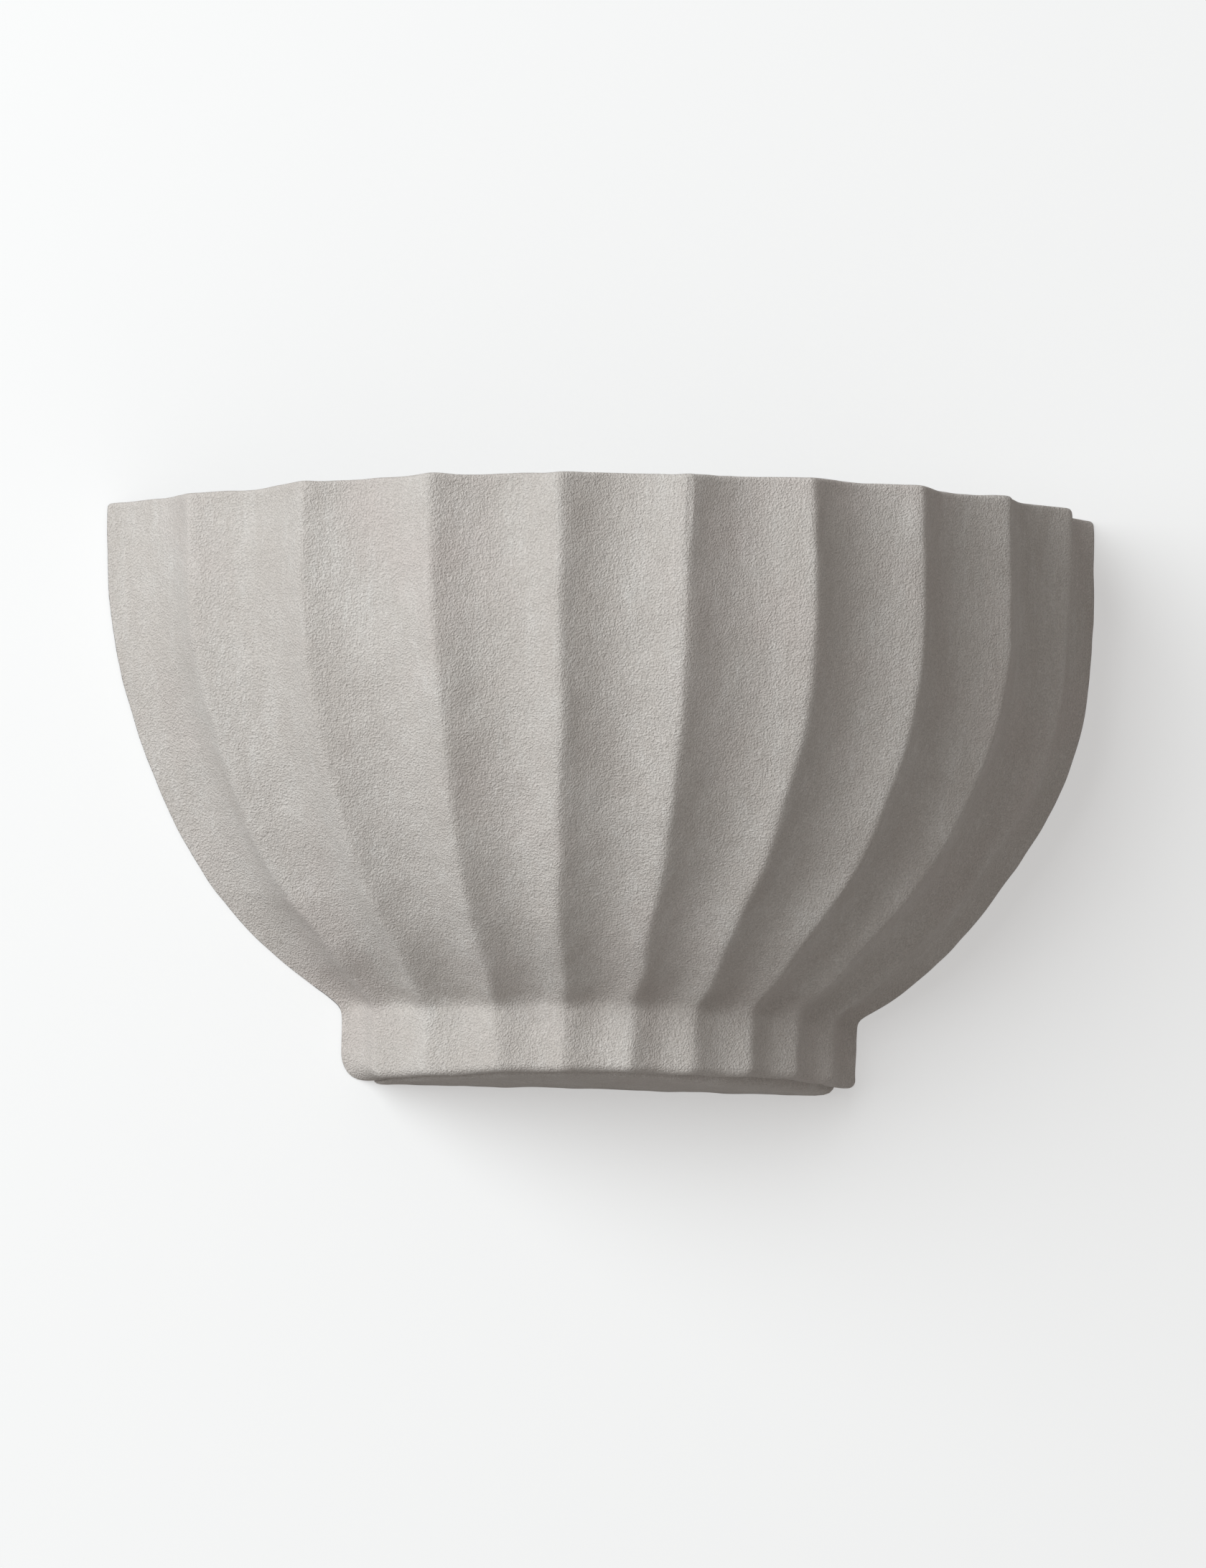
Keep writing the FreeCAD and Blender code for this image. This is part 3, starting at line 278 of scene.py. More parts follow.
@dataclass(frozen=True)
class HandGrain:
    """Layers of brushed plaster: soft clouds, a suede grain and faint strokes, and a darker speckle
    in the grain's low pits that is partly the plaster's own speckle and partly painted shade.
    """

    stroke_stretch: float = 0.22
    clouds: Layer = Layer(24.0, 6.0, 0.66, 0.40, 0.66)
    patches: Layer = Layer(95.0, 5.0, 0.62, 0.44, 0.68)
    blush: Layer = Layer(17.0, 2.0, 0.5, 0.50, 0.72)
    strokes: Layer = Layer(420.0, 3.0, 0.55, 0.05, 0.66)
    scuffs: Layer = Layer(210.0, 4.0, 0.7, 0.54, 0.74)
    fine: Layer = Layer(2600.0, 2.0, 0.5)
    lumps: Layer = Layer(170.0, 5.0, 0.72)
    smudges: Layer = Layer(58.0, 6.0, 0.68, 0.56, 0.80)
    grain_detail: float = 2.0
    grain_rough: float = 0.55
    grain_curl: float = 0.25
    cloud_bloom: float = 0.40
    patch_bloom: float = 0.30
    scuff_bloom: float = 0.14
    blush_share: float = 0.5
    # Speckle settings: darker colour in the grain's low pits, partly the plaster's own speckle and
    # partly painted shade in those pits.
    speck_fineness: float = 0.4
    speck_low: float = 0.56
    speck_high: float = 0.84
    pit_shade_share: float = 0.36
    pit_shade_tone: Colour = (0.33, 0.305, 0.28)
    smudge_share: float = 0.15
    smudge_tone: Colour = (0.36, 0.33, 0.30)
    grain_height: float = 1.4
    lump_height: float = 1.15
    stroke_height: float = 0.18
    fine_height: float = 0.35
    least_rough: float = 0.84
    added_rough: float = 0.10

    def build(self) -> bpy.types.NodeTree:
        """Build the shared group.

        Returns:
            The group, with a colour, a roughness and a height.
        """
        tree, entry, leave = new_group(
            "hand_grain",
            {
                "Tone": (Socket.COLOUR, (0.6, 0.6, 0.6, 1.0)),
                "Bloom": (Socket.COLOUR, (0.7, 0.7, 0.7, 1.0)),
                "Blush": (Socket.COLOUR, (0.6, 0.5, 0.5, 1.0)),
                "Grain": (Socket.NUMBER, 900.0),
            },
            {"Colour": Socket.COLOUR, "Rough": Socket.NUMBER, "Height": Socket.NUMBER},
        )
        sheet = NodeSheet(tree)
        where = sheet.add("ShaderNodeTexCoord").outputs["Object"]
        upright = sheet.add("ShaderNodeMapping")
        upright.inputs["Scale"].default_value = (1.0, 1.0, self.stroke_stretch)
        sheet.wire(where, upright.inputs["Vector"])
        along = upright.outputs["Vector"]

        grain_noise = sheet.add("ShaderNodeTexNoise")
        grain_noise.inputs["Detail"].default_value = self.grain_detail
        grain_noise.inputs["Roughness"].default_value = self.grain_rough
        grain_noise.inputs["Distortion"].default_value = self.grain_curl
        sheet.wire(where, grain_noise.inputs["Vector"])
        sheet.wire(entry.outputs["Grain"], grain_noise.inputs["Scale"])
        grain = grain_noise.outputs["Fac"]
        strokes = sheet.noise(along, self.strokes)
        fine = sheet.noise(where, self.fine)
        lumps = sheet.noise(where, self.lumps)

        pale = sheet.plus(
            sheet.times(sheet.mask(where, self.clouds), self.cloud_bloom),
            sheet.times(sheet.mask(along, self.patches), self.patch_bloom),
        )
        pale = sheet.times(pale, sheet.spread(strokes, self.strokes.low, self.strokes.high))
        scuffs = sheet.times(sheet.mask(along, self.scuffs), self.scuff_bloom)
        colour = sheet.blend(
            sheet.plus(pale, scuffs), entry.outputs["Tone"], entry.outputs["Bloom"]
        )
        blush = sheet.times(sheet.mask(where, self.blush), self.blush_share)
        colour = sheet.blend(blush, colour, entry.outputs["Blush"])
        # Darken the colour where the grain's bump is lowest: painted shade in its pits, together
        # with the plaster's own speckle.
        speck = sheet.plus(sheet.times(fine, self.speck_fineness), grain)
        pit_shade_mask = sheet.maths(
            Maths.SUBTRACT, 1.0, sheet.spread(speck, self.speck_low, self.speck_high)
        )
        colour = sheet.blend(sheet.times(pit_shade_mask, self.pit_shade_share), colour, self.pit_shade_tone)
        smudge = sheet.times(sheet.mask(along, self.smudges), self.smudge_share)
        colour = sheet.blend(smudge, colour, self.smudge_tone)

        height = sheet.times(grain, self.grain_height)
        for layer, weight in (
            (lumps, self.lump_height),
            (strokes, self.stroke_height),
            (fine, self.fine_height),
        ):
            height = sheet.plus(height, sheet.times(layer, weight))
        rough = sheet.plus(sheet.times(grain, self.added_rough), self.least_rough)
        sheet.wire(colour, leave.inputs["Colour"])
        sheet.wire(rough, leave.inputs["Rough"])
        sheet.wire(height, leave.inputs["Height"])
        return tree


@dataclass(frozen=True)
class FineWear:
    """Layers of metal, plastic and porcelain: faint clouds and a fine surface."""

    clouds: Layer = Layer(70.0, 4.0, 0.6, 0.35, 0.75)
    fine_detail: float = 3.0
    dull_share: float = 0.6
    added_rough: float = 0.12

    def build(self) -> bpy.types.NodeTree:
        """Build the shared group.

        Returns:
            The group, with a colour, a roughness and a height.
        """
        tree, entry, leave = new_group(
            "fine_wear",
            {
                "Tone": (Socket.COLOUR, (0.6, 0.6, 0.6, 1.0)),
                "Dull": (Socket.COLOUR, (0.5, 0.5, 0.5, 1.0)),
                "Rough": (Socket.NUMBER, 0.4),
                "Scale": (Socket.NUMBER, 300.0),
            },
            {"Colour": Socket.COLOUR, "Rough": Socket.NUMBER, "Height": Socket.NUMBER},
        )
        sheet = NodeSheet(tree)
        where = sheet.add("ShaderNodeTexCoord").outputs["Object"]
        clouds = sheet.mask(where, self.clouds)
        fine = sheet.add("ShaderNodeTexNoise")
        fine.inputs["Detail"].default_value = self.fine_detail
        sheet.wire(where, fine.inputs["Vector"])
        sheet.wire(entry.outputs["Scale"], fine.inputs["Scale"])
        colour = sheet.blend(
            sheet.times(clouds, self.dull_share), entry.outputs["Tone"], entry.outputs["Dull"]
        )
        rough = sheet.plus(entry.outputs["Rough"], sheet.times(clouds, self.added_rough))
        sheet.wire(colour, leave.inputs["Colour"])
        sheet.wire(rough, leave.inputs["Rough"])
        sheet.wire(fine.outputs["Fac"], leave.inputs["Height"])
        return tree


HAND_GRAIN = HandGrain().build()
FINE_WEAR = FineWear().build()


def start_material(name: str) -> tuple[bpy.types.Material, NodeSheet, bpy.types.Node]:
    """Make a material with an empty Principled surface.

    Args:
        name: name of the material.

    Returns:
        The material, its node sheet and its Principled node.
    """
    material = bpy.data.materials.new(name)
    material.use_nodes = True
    surface = material.node_tree.nodes["Principled BSDF"]
    return material, NodeSheet(material.node_tree), surface


def coat_surface(
    sheet: NodeSheet,
    group: bpy.types.Node,
    surface: bpy.types.Node,
    strength: float,
    relief: float,
) -> None:
    """Wire a finish group's colour, roughness and height into a surface.

    Args:
        sheet: the material's node sheet.
        group: the group node.
        surface: the Principled node.
        strength: strength of the bump.
        relief: height of the bump in metres.
    """
    bump = sheet.add("ShaderNodeBump")
    bump.inputs["Strength"].default_value = strength
    bump.inputs["Distance"].default_value = relief
    sheet.wire(group.outputs["Height"], bump.inputs["Height"])
    sheet.wire(bump.outputs["Normal"], surface.inputs["Normal"])
    sheet.wire(group.outputs["Colour"], surface.inputs["Base Color"])
    sheet.wire(group.outputs["Rough"], surface.inputs["Roughness"])


@dataclass(frozen=True)
class PlasterFinish:
    """The shell's matte hand-brushed coat."""

    name: str = "hand_brushed_plaster"
    tone: Colour = (0.598, 0.551, 0.514)
    bloom: Colour = (0.785, 0.757, 0.726)
    blush: Colour = (0.638, 0.566, 0.536)
    grain: float = 1320.0
    bump: float = 0.72
    relief: float = 0.0012
    shine: float = 0.18
    sheen: float = 0.12
    sheen_rough: float = 0.6

    def build(self) -> bpy.types.Material:
        """Build the finish.

        Returns:
            The material.
        """
        material, sheet, surface = start_material(self.name)
        coat = sheet.add("ShaderNodeGroup", node_tree=HAND_GRAIN)
        coat.inputs["Tone"].default_value = (*self.tone, 1.0)
        coat.inputs["Bloom"].default_value = (*self.bloom, 1.0)
        coat.inputs["Blush"].default_value = (*self.blush, 1.0)
        coat.inputs["Grain"].default_value = self.grain
        coat_surface(sheet, coat, surface, self.bump, self.relief)
        surface.inputs["Specular IOR Level"].default_value = self.shine
        surface.inputs["Sheen Weight"].default_value = self.sheen
        surface.inputs["Sheen Roughness"].default_value = self.sheen_rough
        return material


@dataclass(frozen=True)
class HardFinish:
    """A metal, plastic or porcelain finish."""

    name: str
    tone: Colour
    dull: Colour
    rough: float
    metallic: float = 0.0
    scale: float = 400.0
    relief: float = 0.00004
    coat: float = 0.0
    bump: float = 0.5

    def build(self) -> bpy.types.Material:
        """Build the finish.

        Returns:
            The material.
        """
        material, sheet, surface = start_material(self.name)
        wear = sheet.add("ShaderNodeGroup", node_tree=FINE_WEAR)
        wear.inputs["Tone"].default_value = (*self.tone, 1.0)
        wear.inputs["Dull"].default_value = (*self.dull, 1.0)
        wear.inputs["Rough"].default_value = self.rough
        wear.inputs["Scale"].default_value = self.scale
        coat_surface(sheet, wear, surface, self.bump, self.relief)
        surface.inputs["Metallic"].default_value = self.metallic
        surface.inputs["Coat Weight"].default_value = self.coat
        return material


# ------------------------------------------------------------------ the cast shell


@dataclass(frozen=True)
class Level:
    """One row of the shell: a fluted curve from wall edge to wall edge.

    Attributes:
        half_width: half of its width at the wall.
        reach: how far its middle stands off the wall.
        height: its height.
        hollow: depth of its flutes.
        depth_share: share of its distance from the wall that is kept; 0 lays it on the wall.
        outside: 1 on the outer face, 0 inside.
        soft: softness of its ridges.
        rise: share of the foot's left corner by which it climbs.
        tuck: share of the foot's left corner by which it draws in.
        hang: how far it hangs below its height.
    """

    half_width: float
    reach: float
    height: float
    hollow: float
    depth_share: float = 1.0
    outside: float = 1.0
    soft: float = 1.8 * MM
    rise: float = 0.0
    tuck: float = 0.0
    hang: float = 0.0


@dataclass(frozen=True)
class SoleStep:
    """One step of the sole's lip, in mm: in from the face, down from the foot; corner share."""

    inset: float
    fall: float
    tuck: float


@dataclass(frozen=True)
class Fade:
    """A soft step from 0 to 1: where it starts and over what run."""

    start: float
    run: float

    def at(self, value: float) -> float:
        """Share of the step at a value."""
        return smooth((value - self.start) / self.run)


@dataclass(frozen=True)
class Waver:
    """One scale of the hand-made unevenness: size of its ripples, strength and seed."""

    scale: float
    strength: float
    seed: float


@dataclass(frozen=True)
class Drift:
    """A soft shift to the right: how far, how far below the rim, and over what height."""

    most: float
    drop: float
    spread: float

    def at(self, drop: float) -> float:
        """Shift at a distance below the rim."""
        return self.most * math.exp(-(((drop - self.drop) / self.spread) ** 2))


@dataclass(frozen=True)
class Lug:
    """Sizes of the two lugs inside the wall that carry the hangers."""

    inner: float = 150 * MM
    back: float = -4.1 * MM
    front: float = -22 * MM
    top: float = 58 * MM
    bottom: float = 18 * MM
    bite: float = 3.5 * MM
    edge: float = 2.5 * MM


@dataclass
class FlutedShell:
    """The hand-finished shell, made as one fluted grid bent round its own section."""

    node: str = "fluted_shell"
    body: str = "shell"
    half_width: float = 203.2 * MM
    reach: float = 146.0 * MM
    brow_drop: float = 15.0 * MM
    side_drop: float = 218.0 * MM
    front_drop: float = 207.0 * MM
    fullness: float = 2.2
    neck_drop: float = 203.5 * MM
    foot_height: float = 27.5 * MM
    foot_half_width: float = 105.5 * MM
    foot_reach: float = 62.0 * MM
    foot_corner: float = 3.4 * MM
    left_corner: float = 6.0 * MM
    cove: float = 3.4 * MM
    wall: float = 8.0 * MM
    floor: float = 9.0 * MM
    floor_fillet: float = 3.0 * MM
    rim_corner: float = 3.2 * MM
    rim_squareness: float = 0.6
    rim_hollow: float = 6.9 * MM
    neck_hollow: float = 5.8 * MM
    foot_hollow: float = 2.35 * MM
    hollow_delay: int = 3
    foot_hollow_fade: Fade = Fade(-4 * MM, 9 * MM)
    sole_smoothness: float = 0.7
    inner_softening: float = 1.6 * MM
    rim_soft: float = 2.3 * MM
    neck_soft: float = 2.6 * MM
    crest: float = 0.8
    crest_span: float = 0.35
    broad_face: float = 60 * MM * MM
    facing_wall: float = 0.999
    weld: float = 0.00001
    sliver: float = 0.000001

    flutes: int = 10
    columns_per_flute: int = 34
    column_crowding: float = 0.11
    bowl_rows: int = 92
    bowl_start: float = 5 * MM
    bowl_crowding: float = 0.92
    rim_rows: int = 14
    foot_rows: int = 12
    foot_top: float = 6.5 * MM
    floor_shares: tuple[float, ...] = (0.0, 0.25, 0.5, 0.75, 0.92, 1.0)
    fillet_turns: tuple[float, ...] = (30.0, 60.0, 90.0)
    inner_neck_mm: tuple[float, ...] = (12.0, 7.0, 4.0, 2.0)
    outer_neck_mm: tuple[float, ...] = (1.0, 2.0, 3.2, 4.6)
    corner_turns: tuple[float, ...] = (15.0, 30.0, 45.0, 60.0, 75.0, 90.0)
    sole_shares: tuple[float, ...] = (0.9, 0.7, 0.45, 0.2, 0.0)
    sole_lip: tuple[SoleStep, ...] = (
        SoleStep(5.0, 0.0, 1.0),
        SoleStep(6.6, -0.7, 1.0),
        SoleStep(8.0, -1.3, 0.9),
        SoleStep(9.0, -1.0, 0.8),
        SoleStep(9.8, 0.6, 0.7),
        SoleStep(11.2, 2.0, 0.6),
        SoleStep(13.5, 2.8, 0.5),
        SoleStep(17.0, 3.1, 0.4),
    )

    foot_shift: float = 1.8 * MM
    foot_shift_fade: Fade = Fade(-12 * MM, 14 * MM)
    corner_fade: Fade = Fade(0.36, 0.14)
    drift_fade: Fade = Fade(-0.1, 0.6)
    crease_fade: Fade = Fade(0.15, 0.35)
    lip_fade: Fade = Fade(-0.15, 0.5)
    right_drift: Drift = Drift(3.7 * MM, 88 * MM, 40 * MM)
    left_drift: Drift = Drift(2.0 * MM, 122 * MM, 54 * MM)
    crease_lift_left: float = 1.9 * MM
    crease_rise_right: float = 0.5 * MM
    crease_spread: float = 16 * MM
    lip_share_left: float = 0.48
    rim_dip_depth: float = 45 * MM
    sway_drops: tuple[float, ...] = (0.0, 95.0 * MM, 145.0 * MM, 180.0 * MM, 206.0 * MM)
    rim_sway: tuple[float, ...] = (0, -0.3, 0.4, 0.7, 0.5, 0, 0, -0.3, 0.1, 0.7, 0)
    middle_sway: tuple[float, ...] = (0, -0.5, -0.3, 0.8, 0, -0.5, 0.3, 0.1, 0.2, 0.2, 0)
    belly_sway: tuple[float, ...] = (0, -1.0, -0.8, 0.2, -0.5, -0.9, -0.6, -0.3, -0.3, 0, 0)
    low_sway: tuple[float, ...] = (0, 0, -1.2, -0.8, -1.5, -1.4, -1.8, -2.0, -2.6, -1.5, 0)
    foot_sway: tuple[float, ...] = (0, -3.4, -4.2, -2.2, -1.4, -0.8, -0.5, 0, 0, 0, 0)
    rim_dip: tuple[float, ...] = (3.3, 2.6, 1.0, 0.3, 0, 0, 0, 0, 0.2, 0.3, 0)

    wavers: tuple[Waver, ...] = (
        Waver(58 * MM, 1.1 * MM, 3.1),
        Waver(16 * MM, 0.5 * MM, 7.7),
        Waver(7 * MM, 0.2 * MM, 12.9),
    )
    axis_seed: float = 4.3
    still_at_wall: float = 10 * MM
    inner_waver_share: float = 0.6
    lug: Lug = Lug()
    finish: PlasterFinish = PlasterFinish()

    def level(self, drop: float, inset: float, soften: float, outside: float) -> Level:
        """One row of the bowl or the foot, which run into each other in a soft cove.

        Args:
            drop: distance below the rim.
            inset: how far the row is moved in from the outer face.
            soften: how much shallower the flutes are.
            outside: 1 on the outer face, 0 inside.

        Returns:
            The row.
        """
        below = max(drop - self.brow_drop, 0.0)
        sizes = []
        for whole, close, foot in (
            (self.half_width, self.side_drop, self.foot_half_width),
            (self.reach, self.front_drop, self.foot_reach),
        ):
            bowl = whole * math.sqrt(max(1.0 - (below / close) ** self.fullness, 0.0))
            apart = bowl - foot
            sizes.append(0.5 * (bowl + foot + math.hypot(apart, self.cove)) - inset)
        share = min(drop / self.neck_drop, 1.0)
        late = share**self.hollow_delay
        bowl_hollow = self.rim_hollow * (1.0 - late) + self.neck_hollow * late
        on_foot = self.foot_hollow_fade.at(drop - self.neck_drop)
        hollow = bowl_hollow * (1.0 - on_foot) + self.foot_hollow * on_foot - soften
        soft = self.rim_soft * (1.0 - share) + self.neck_soft * share
        return Level(sizes[0], sizes[1], RIM_HEIGHT - drop, hollow, outside=outside, soft=soft)

    def inner_levels(self) -> list[Level]:
        """Rows from the middle of the floor up the inside to the rim.

        Returns:
            The rows, in order.
        """
        floor_drop = self.neck_drop + self.foot_height - self.floor
        soften = self.inner_softening
        fillet = self.floor_fillet
        base = self.level(floor_drop, self.wall + fillet, soften, 0.0)
        rows = [replace(base, depth_share=share) for share in self.floor_shares]
        for turn in self.fillet_turns:
            angle = math.radians(turn)
            drop = floor_drop - fillet * (1.0 - math.cos(angle))
            rows.append(self.level(drop, self.wall + fillet * (1.0 - math.sin(angle)), soften, 0.0))
        for past in self.inner_neck_mm:
            rows.append(self.level(self.neck_drop + past * MM, self.wall, soften, 0.0))
        for drop in reversed(self.bowl_drops(self.bowl_rows * 2 // 3)):
            rows.append(self.level(drop, self.wall, soften, 0.0))
        return rows

    def bowl_drops(self, count: int) -> list[float]:
        """Drops from just below the rim to the crease, closer together low down.

        Args:
            count: how many steps there are.

        Returns:
            One drop more than the steps.
        """
        bend = self.bowl_crowding * math.pi / 2.0
        span = (self.neck_drop - self.bowl_start) / math.sin(bend)
        return [
            self.bowl_start + span * math.sin(bend * step / count) for step in range(count + 1)
        ]

    def rim_levels(self) -> list[Level]:
        """Rows over the soft rim.

        Returns:
            The rows, from inside to outside.
        """
        rows: list[Level] = []
        half = self.wall / 2.0
        for step in range(self.rim_rows + 1):
            angle = math.pi * step / self.rim_rows
            across = math.copysign(
                abs(math.cos(angle)) ** self.rim_squareness, math.cos(angle)
            )
            up = abs(math.sin(angle)) ** self.rim_squareness
            share = step / self.rim_rows
            soften = self.inner_softening * (1.0 - share)
            drop = self.rim_corner * (1.0 - up)
            rows.append(self.level(drop, half + half * across, soften, share))
        return rows

    def outer_levels(self) -> list[Level]:
        """Rows from below the rim down the outside to the middle of the sole.

        Returns:
            The rows, in order.
        """
        foot_drop = self.neck_drop + self.foot_height
        rows = [self.level(drop, 0.0, 0.0, 1.0) for drop in self.bowl_drops(self.bowl_rows)]
        for past in self.outer_neck_mm:
            rows.append(self.level(self.neck_drop + past * MM, 0.0, 0.0, 1.0))
        top = self.neck_drop + self.foot_top
        for step in range(self.foot_rows + 1):
            share = step / self.foot_rows
            drop = top + (foot_drop - self.foot_corner - top) * share
            rows.append(replace(self.level(drop, 0.0, 0.0, 1.0), rise=share))
        for turn in self.corner_turns:
            angle = math.radians(turn)
            rise = 1.0 - math.sin(angle)
            tuck = 1.0 - math.cos(angle)
            row = self.level(
                foot_drop - self.foot_corner * rise, self.foot_corner * tuck, 0.0, 1.0
            )
            rows.append(replace(row, rise=rise, tuck=tuck))
        deepest = self.sole_lip[-1].inset
        for step in self.sole_lip:
            soften = self.foot_hollow * self.sole_smoothness * smooth(step.inset / deepest)
            row = self.level(foot_drop, step.inset * MM, soften, 1.0)
            rows.append(replace(row, tuck=step.tuck, hang=step.fall * MM))
        base = rows[-1]
        for share in self.sole_shares:
            rows.append(replace(base, depth_share=share))
        return rows

    def column_shares(self) -> list[tuple[int, float]]:
        """Columns of the grid, closer together at the ridges.

        Returns:
            Flute number and place across the flute for each column.
        """
        shares: list[tuple[int, float]] = []
        for flute in range(self.flutes):
            for step in range(self.columns_per_flute):
                even = step / self.columns_per_flute
                shares.append((flute, even - self.column_crowding * math.sin(math.tau * even)))
        shares.append((self.flutes - 1, 1.0))
        return shares

    def sway(self, ridge: int, height: float) -> float:
        """How far a ridge wanders from its even place.

        Args:
            ridge: which ridge, from the left.
            height: where on the ridge.

        Returns:
            The turn in radians.
        """
        drop = RIM_HEIGHT - height
        rows = (
            self.rim_sway, self.middle_sway, self.belly_sway, self.low_sway, self.foot_sway,
        )
        for index in range(len(rows) - 1):
            start, end = self.sway_drops[index : index + 2]
            if drop <= end:
                share = smooth((drop - start) / (end - start))
                above, beneath = rows[index][ridge], rows[index + 1][ridge]
                return math.radians(above * (1.0 - share) + beneath * share)
        return math.radians(self.foot_sway[ridge])

    def dip(self, level: Level, flute: int, share: float, chord: float, turn: float) -> float:
        """How far a flute lies in from the line between its ridges.

        Args:
            level: the row.
            flute: which flute, from the left.
            share: place across the flute, 0 to 1.
            chord: distance between the ridges.
            turn: angle between the ridges.

        Returns:
            The depth, with both ridges rounded off.
        """
        hollow = max(level.hollow, 0.0)
        depth = hollow * 4.0 * share * (1.0 - share)
        slope = 4.0 * hollow / chord + 0.5 * turn
        for edge, at_wall in (
            (share * chord, flute == 0),
            ((1.0 - share) * chord, flute == self.flutes - 1),
        ):
            if not at_wall:
                near = math.exp(-((edge / (self.crest_span * chord)) ** 2))
                round_off = math.hypot(edge, level.soft) - edge
                depth += slope * (round_off - self.crest * level.soft * near)
        return depth

    def point(self, level: Level, flute: int, share: float) -> Vector:
        """A point of the shell before its hand-made waver.

        Args:
            level: the row it lies on.
            flute: which flute, from the left.
            share: place across the flute, 0 to 1.

        Returns:
            The point in metres.
        """
        radius = (level.half_width**2 + level.reach**2) / (2.0 * level.reach)
        half_turn = math.atan2(level.half_width, radius - level.reach)
        turns = [
            half_turn * (2.0 * ridge / self.flutes - 1.0) + self.sway(ridge, level.height)
            for ridge in (flute, flute + 1)
        ]
        ends = [
            Vector((radius * math.sin(turn), -radius * math.cos(turn) + radius - level.reach, 0.0))
            for turn in turns
        ]
        chord = ends[1] - ends[0]
        inward = Vector((-chord.y, chord.x, 0.0)) / chord.length
        dip = self.dip(level, flute, share, chord.length, turns[1] - turns[0])
        place = ends[0] + chord * share + inward * dip
        place.y *= level.depth_share
        self.lean(place, level, flute, share)
        return place

    def lean(self, place: Vector, level: Level, flute: int, share: float) -> None:
        """Give a point its height and the casting's uneven sides, crease, foot and rim.

        Args:
            place: the point, moved in place.
            level: the row it lies on.
            flute: which flute, from the left.
            share: place across the flute, 0 to 1.
        """
        across = (flute + share) / self.flutes - 0.5
        drop = RIM_HEIGHT - level.height
        corner = self.left_corner * self.corner_fade.at(-across)
        place.x += corner * level.tuck
        below_crease = self.foot_shift_fade.at(drop - self.neck_drop)
        place.x -= self.foot_shift * below_crease * level.outside * level.depth_share
        on_right, on_left = self.drift_fade.at(across), self.drift_fade.at(-across)
        place.x += self.right_drift.at(drop) * on_right + self.left_drift.at(drop) * on_left
        lift = self.crease_lift_left * self.crease_fade.at(-across)
        lift += self.crease_rise_right * self.crease_fade.at(across)
        neck = RIM_HEIGHT - self.neck_drop
        from_neck = (level.height - neck) / self.crease_spread
        lift *= math.exp(-(from_neck**2)) * level.outside
        lip_share = self.lip_share_left
        hang = level.hang * (lip_share + (1.0 - lip_share) * self.lip_fade.at(across))
        dip_down = self.rim_dip[flute] * (1.0 - share) + self.rim_dip[flute + 1] * share
        dip_down *= MM * math.exp(-drop / self.rim_dip_depth)
        place.z = level.height + level.rise * corner + lift - hang - dip_down

    def waver_at(self, place: Vector, level: Level) -> Vector:
        """The hand-made unevenness at a point.

        Args:
            place: the point.
            level: its row.

        Returns:
            How far the point moves; never through the wall plane.
        """
        move = Vector((0.0, 0.0, 0.0))
        for waver in self.wavers:
            for axis in range(3):
                seed = waver.seed + self.axis_seed * axis
                move[axis] += waver.strength * ripple(place, waver.scale, seed)
        move.y *= smooth(-place.y / self.still_at_wall)
        if level.outside < 0.5:
            move *= self.inner_waver_share
        return move

    def add_lugs(self, mesh: bmesh.types.BMesh) -> None:
        """Cast lugs inside the wall, low on each side, that carry the hangers.

        Args:
            mesh: the shell's bmesh, in place; each lug's outer corners end inside its wall.
        """
        lug = self.lug
        walls = BVHTree.FromBMesh(mesh)
        for side in (-1.0, 1.0):
            made = bmesh.ops.create_cube(mesh, size=1.0)["verts"]
            for vertex in made:
                deep = lug.back if vertex.co.y > 0.0 else lug.front
                high = lug.top if vertex.co.z > 0.0 else lug.bottom
                place = Vector((side * lug.inner, deep, high))
                if vertex.co.x * side > 0.0:
                    met = walls.ray_cast(place, Vector((side, 0.0, 0.0)))[0]
                    place.x = met.x + side * lug.bite
                vertex.co = place
            edges = {edge for vertex in made for edge in vertex.link_edges}
            bmesh.ops.bevel(
                mesh, geom=list(edges), offset=lug.edge, segments=3, profile=0.5,
                affect="EDGES", material=-1,
            )

    def build(self) -> bpy.types.Object:
        """Bend the grid into the shell, close it along the wall and dress it.

        Returns:
            The shell's object.
        """
        rows = self.inner_levels() + self.rim_levels() + self.outer_levels()
        columns = self.column_shares()
        mesh = bmesh.new()
        bmesh.ops.create_grid(
            mesh, x_segments=len(columns) - 1, y_segments=len(rows) - 1, size=0.5
        )
        low, high = CAD_BOX
        for vertex in mesh.verts:
            column = round((vertex.co.x + 0.5) * (len(columns) - 1))
            level = rows[round((vertex.co.y + 0.5) * (len(rows) - 1))]
            place = self.point(level, *columns[column])
            place += self.waver_at(place, level)
            for axis in range(3):
                place[axis] = min(max(place[axis], low[axis]), high[axis])
            vertex.co = place
        bmesh.ops.remove_doubles(mesh, verts=mesh.verts, dist=self.weld)
        bmesh.ops.dissolve_degenerate(mesh, edges=mesh.edges, dist=self.sliver)
        openings = [edge for edge in mesh.edges if edge.is_boundary]
        bmesh.ops.triangle_fill(
            mesh, edges=openings, use_beauty=True, use_dissolve=False, normal=(0.0, 1.0, 0.0)
        )
        self.add_lugs(mesh)
        bmesh.ops.recalc_face_normals(mesh, faces=mesh.faces)
        for face in mesh.faces:
            round_part = abs(face.normal.y) < self.facing_wall
            face.smooth = round_part and face.calc_area() < self.broad_face
        shell = finish_piece(mesh, "cast_shell", self.body, self.finish.build(), self.node)
        return shell


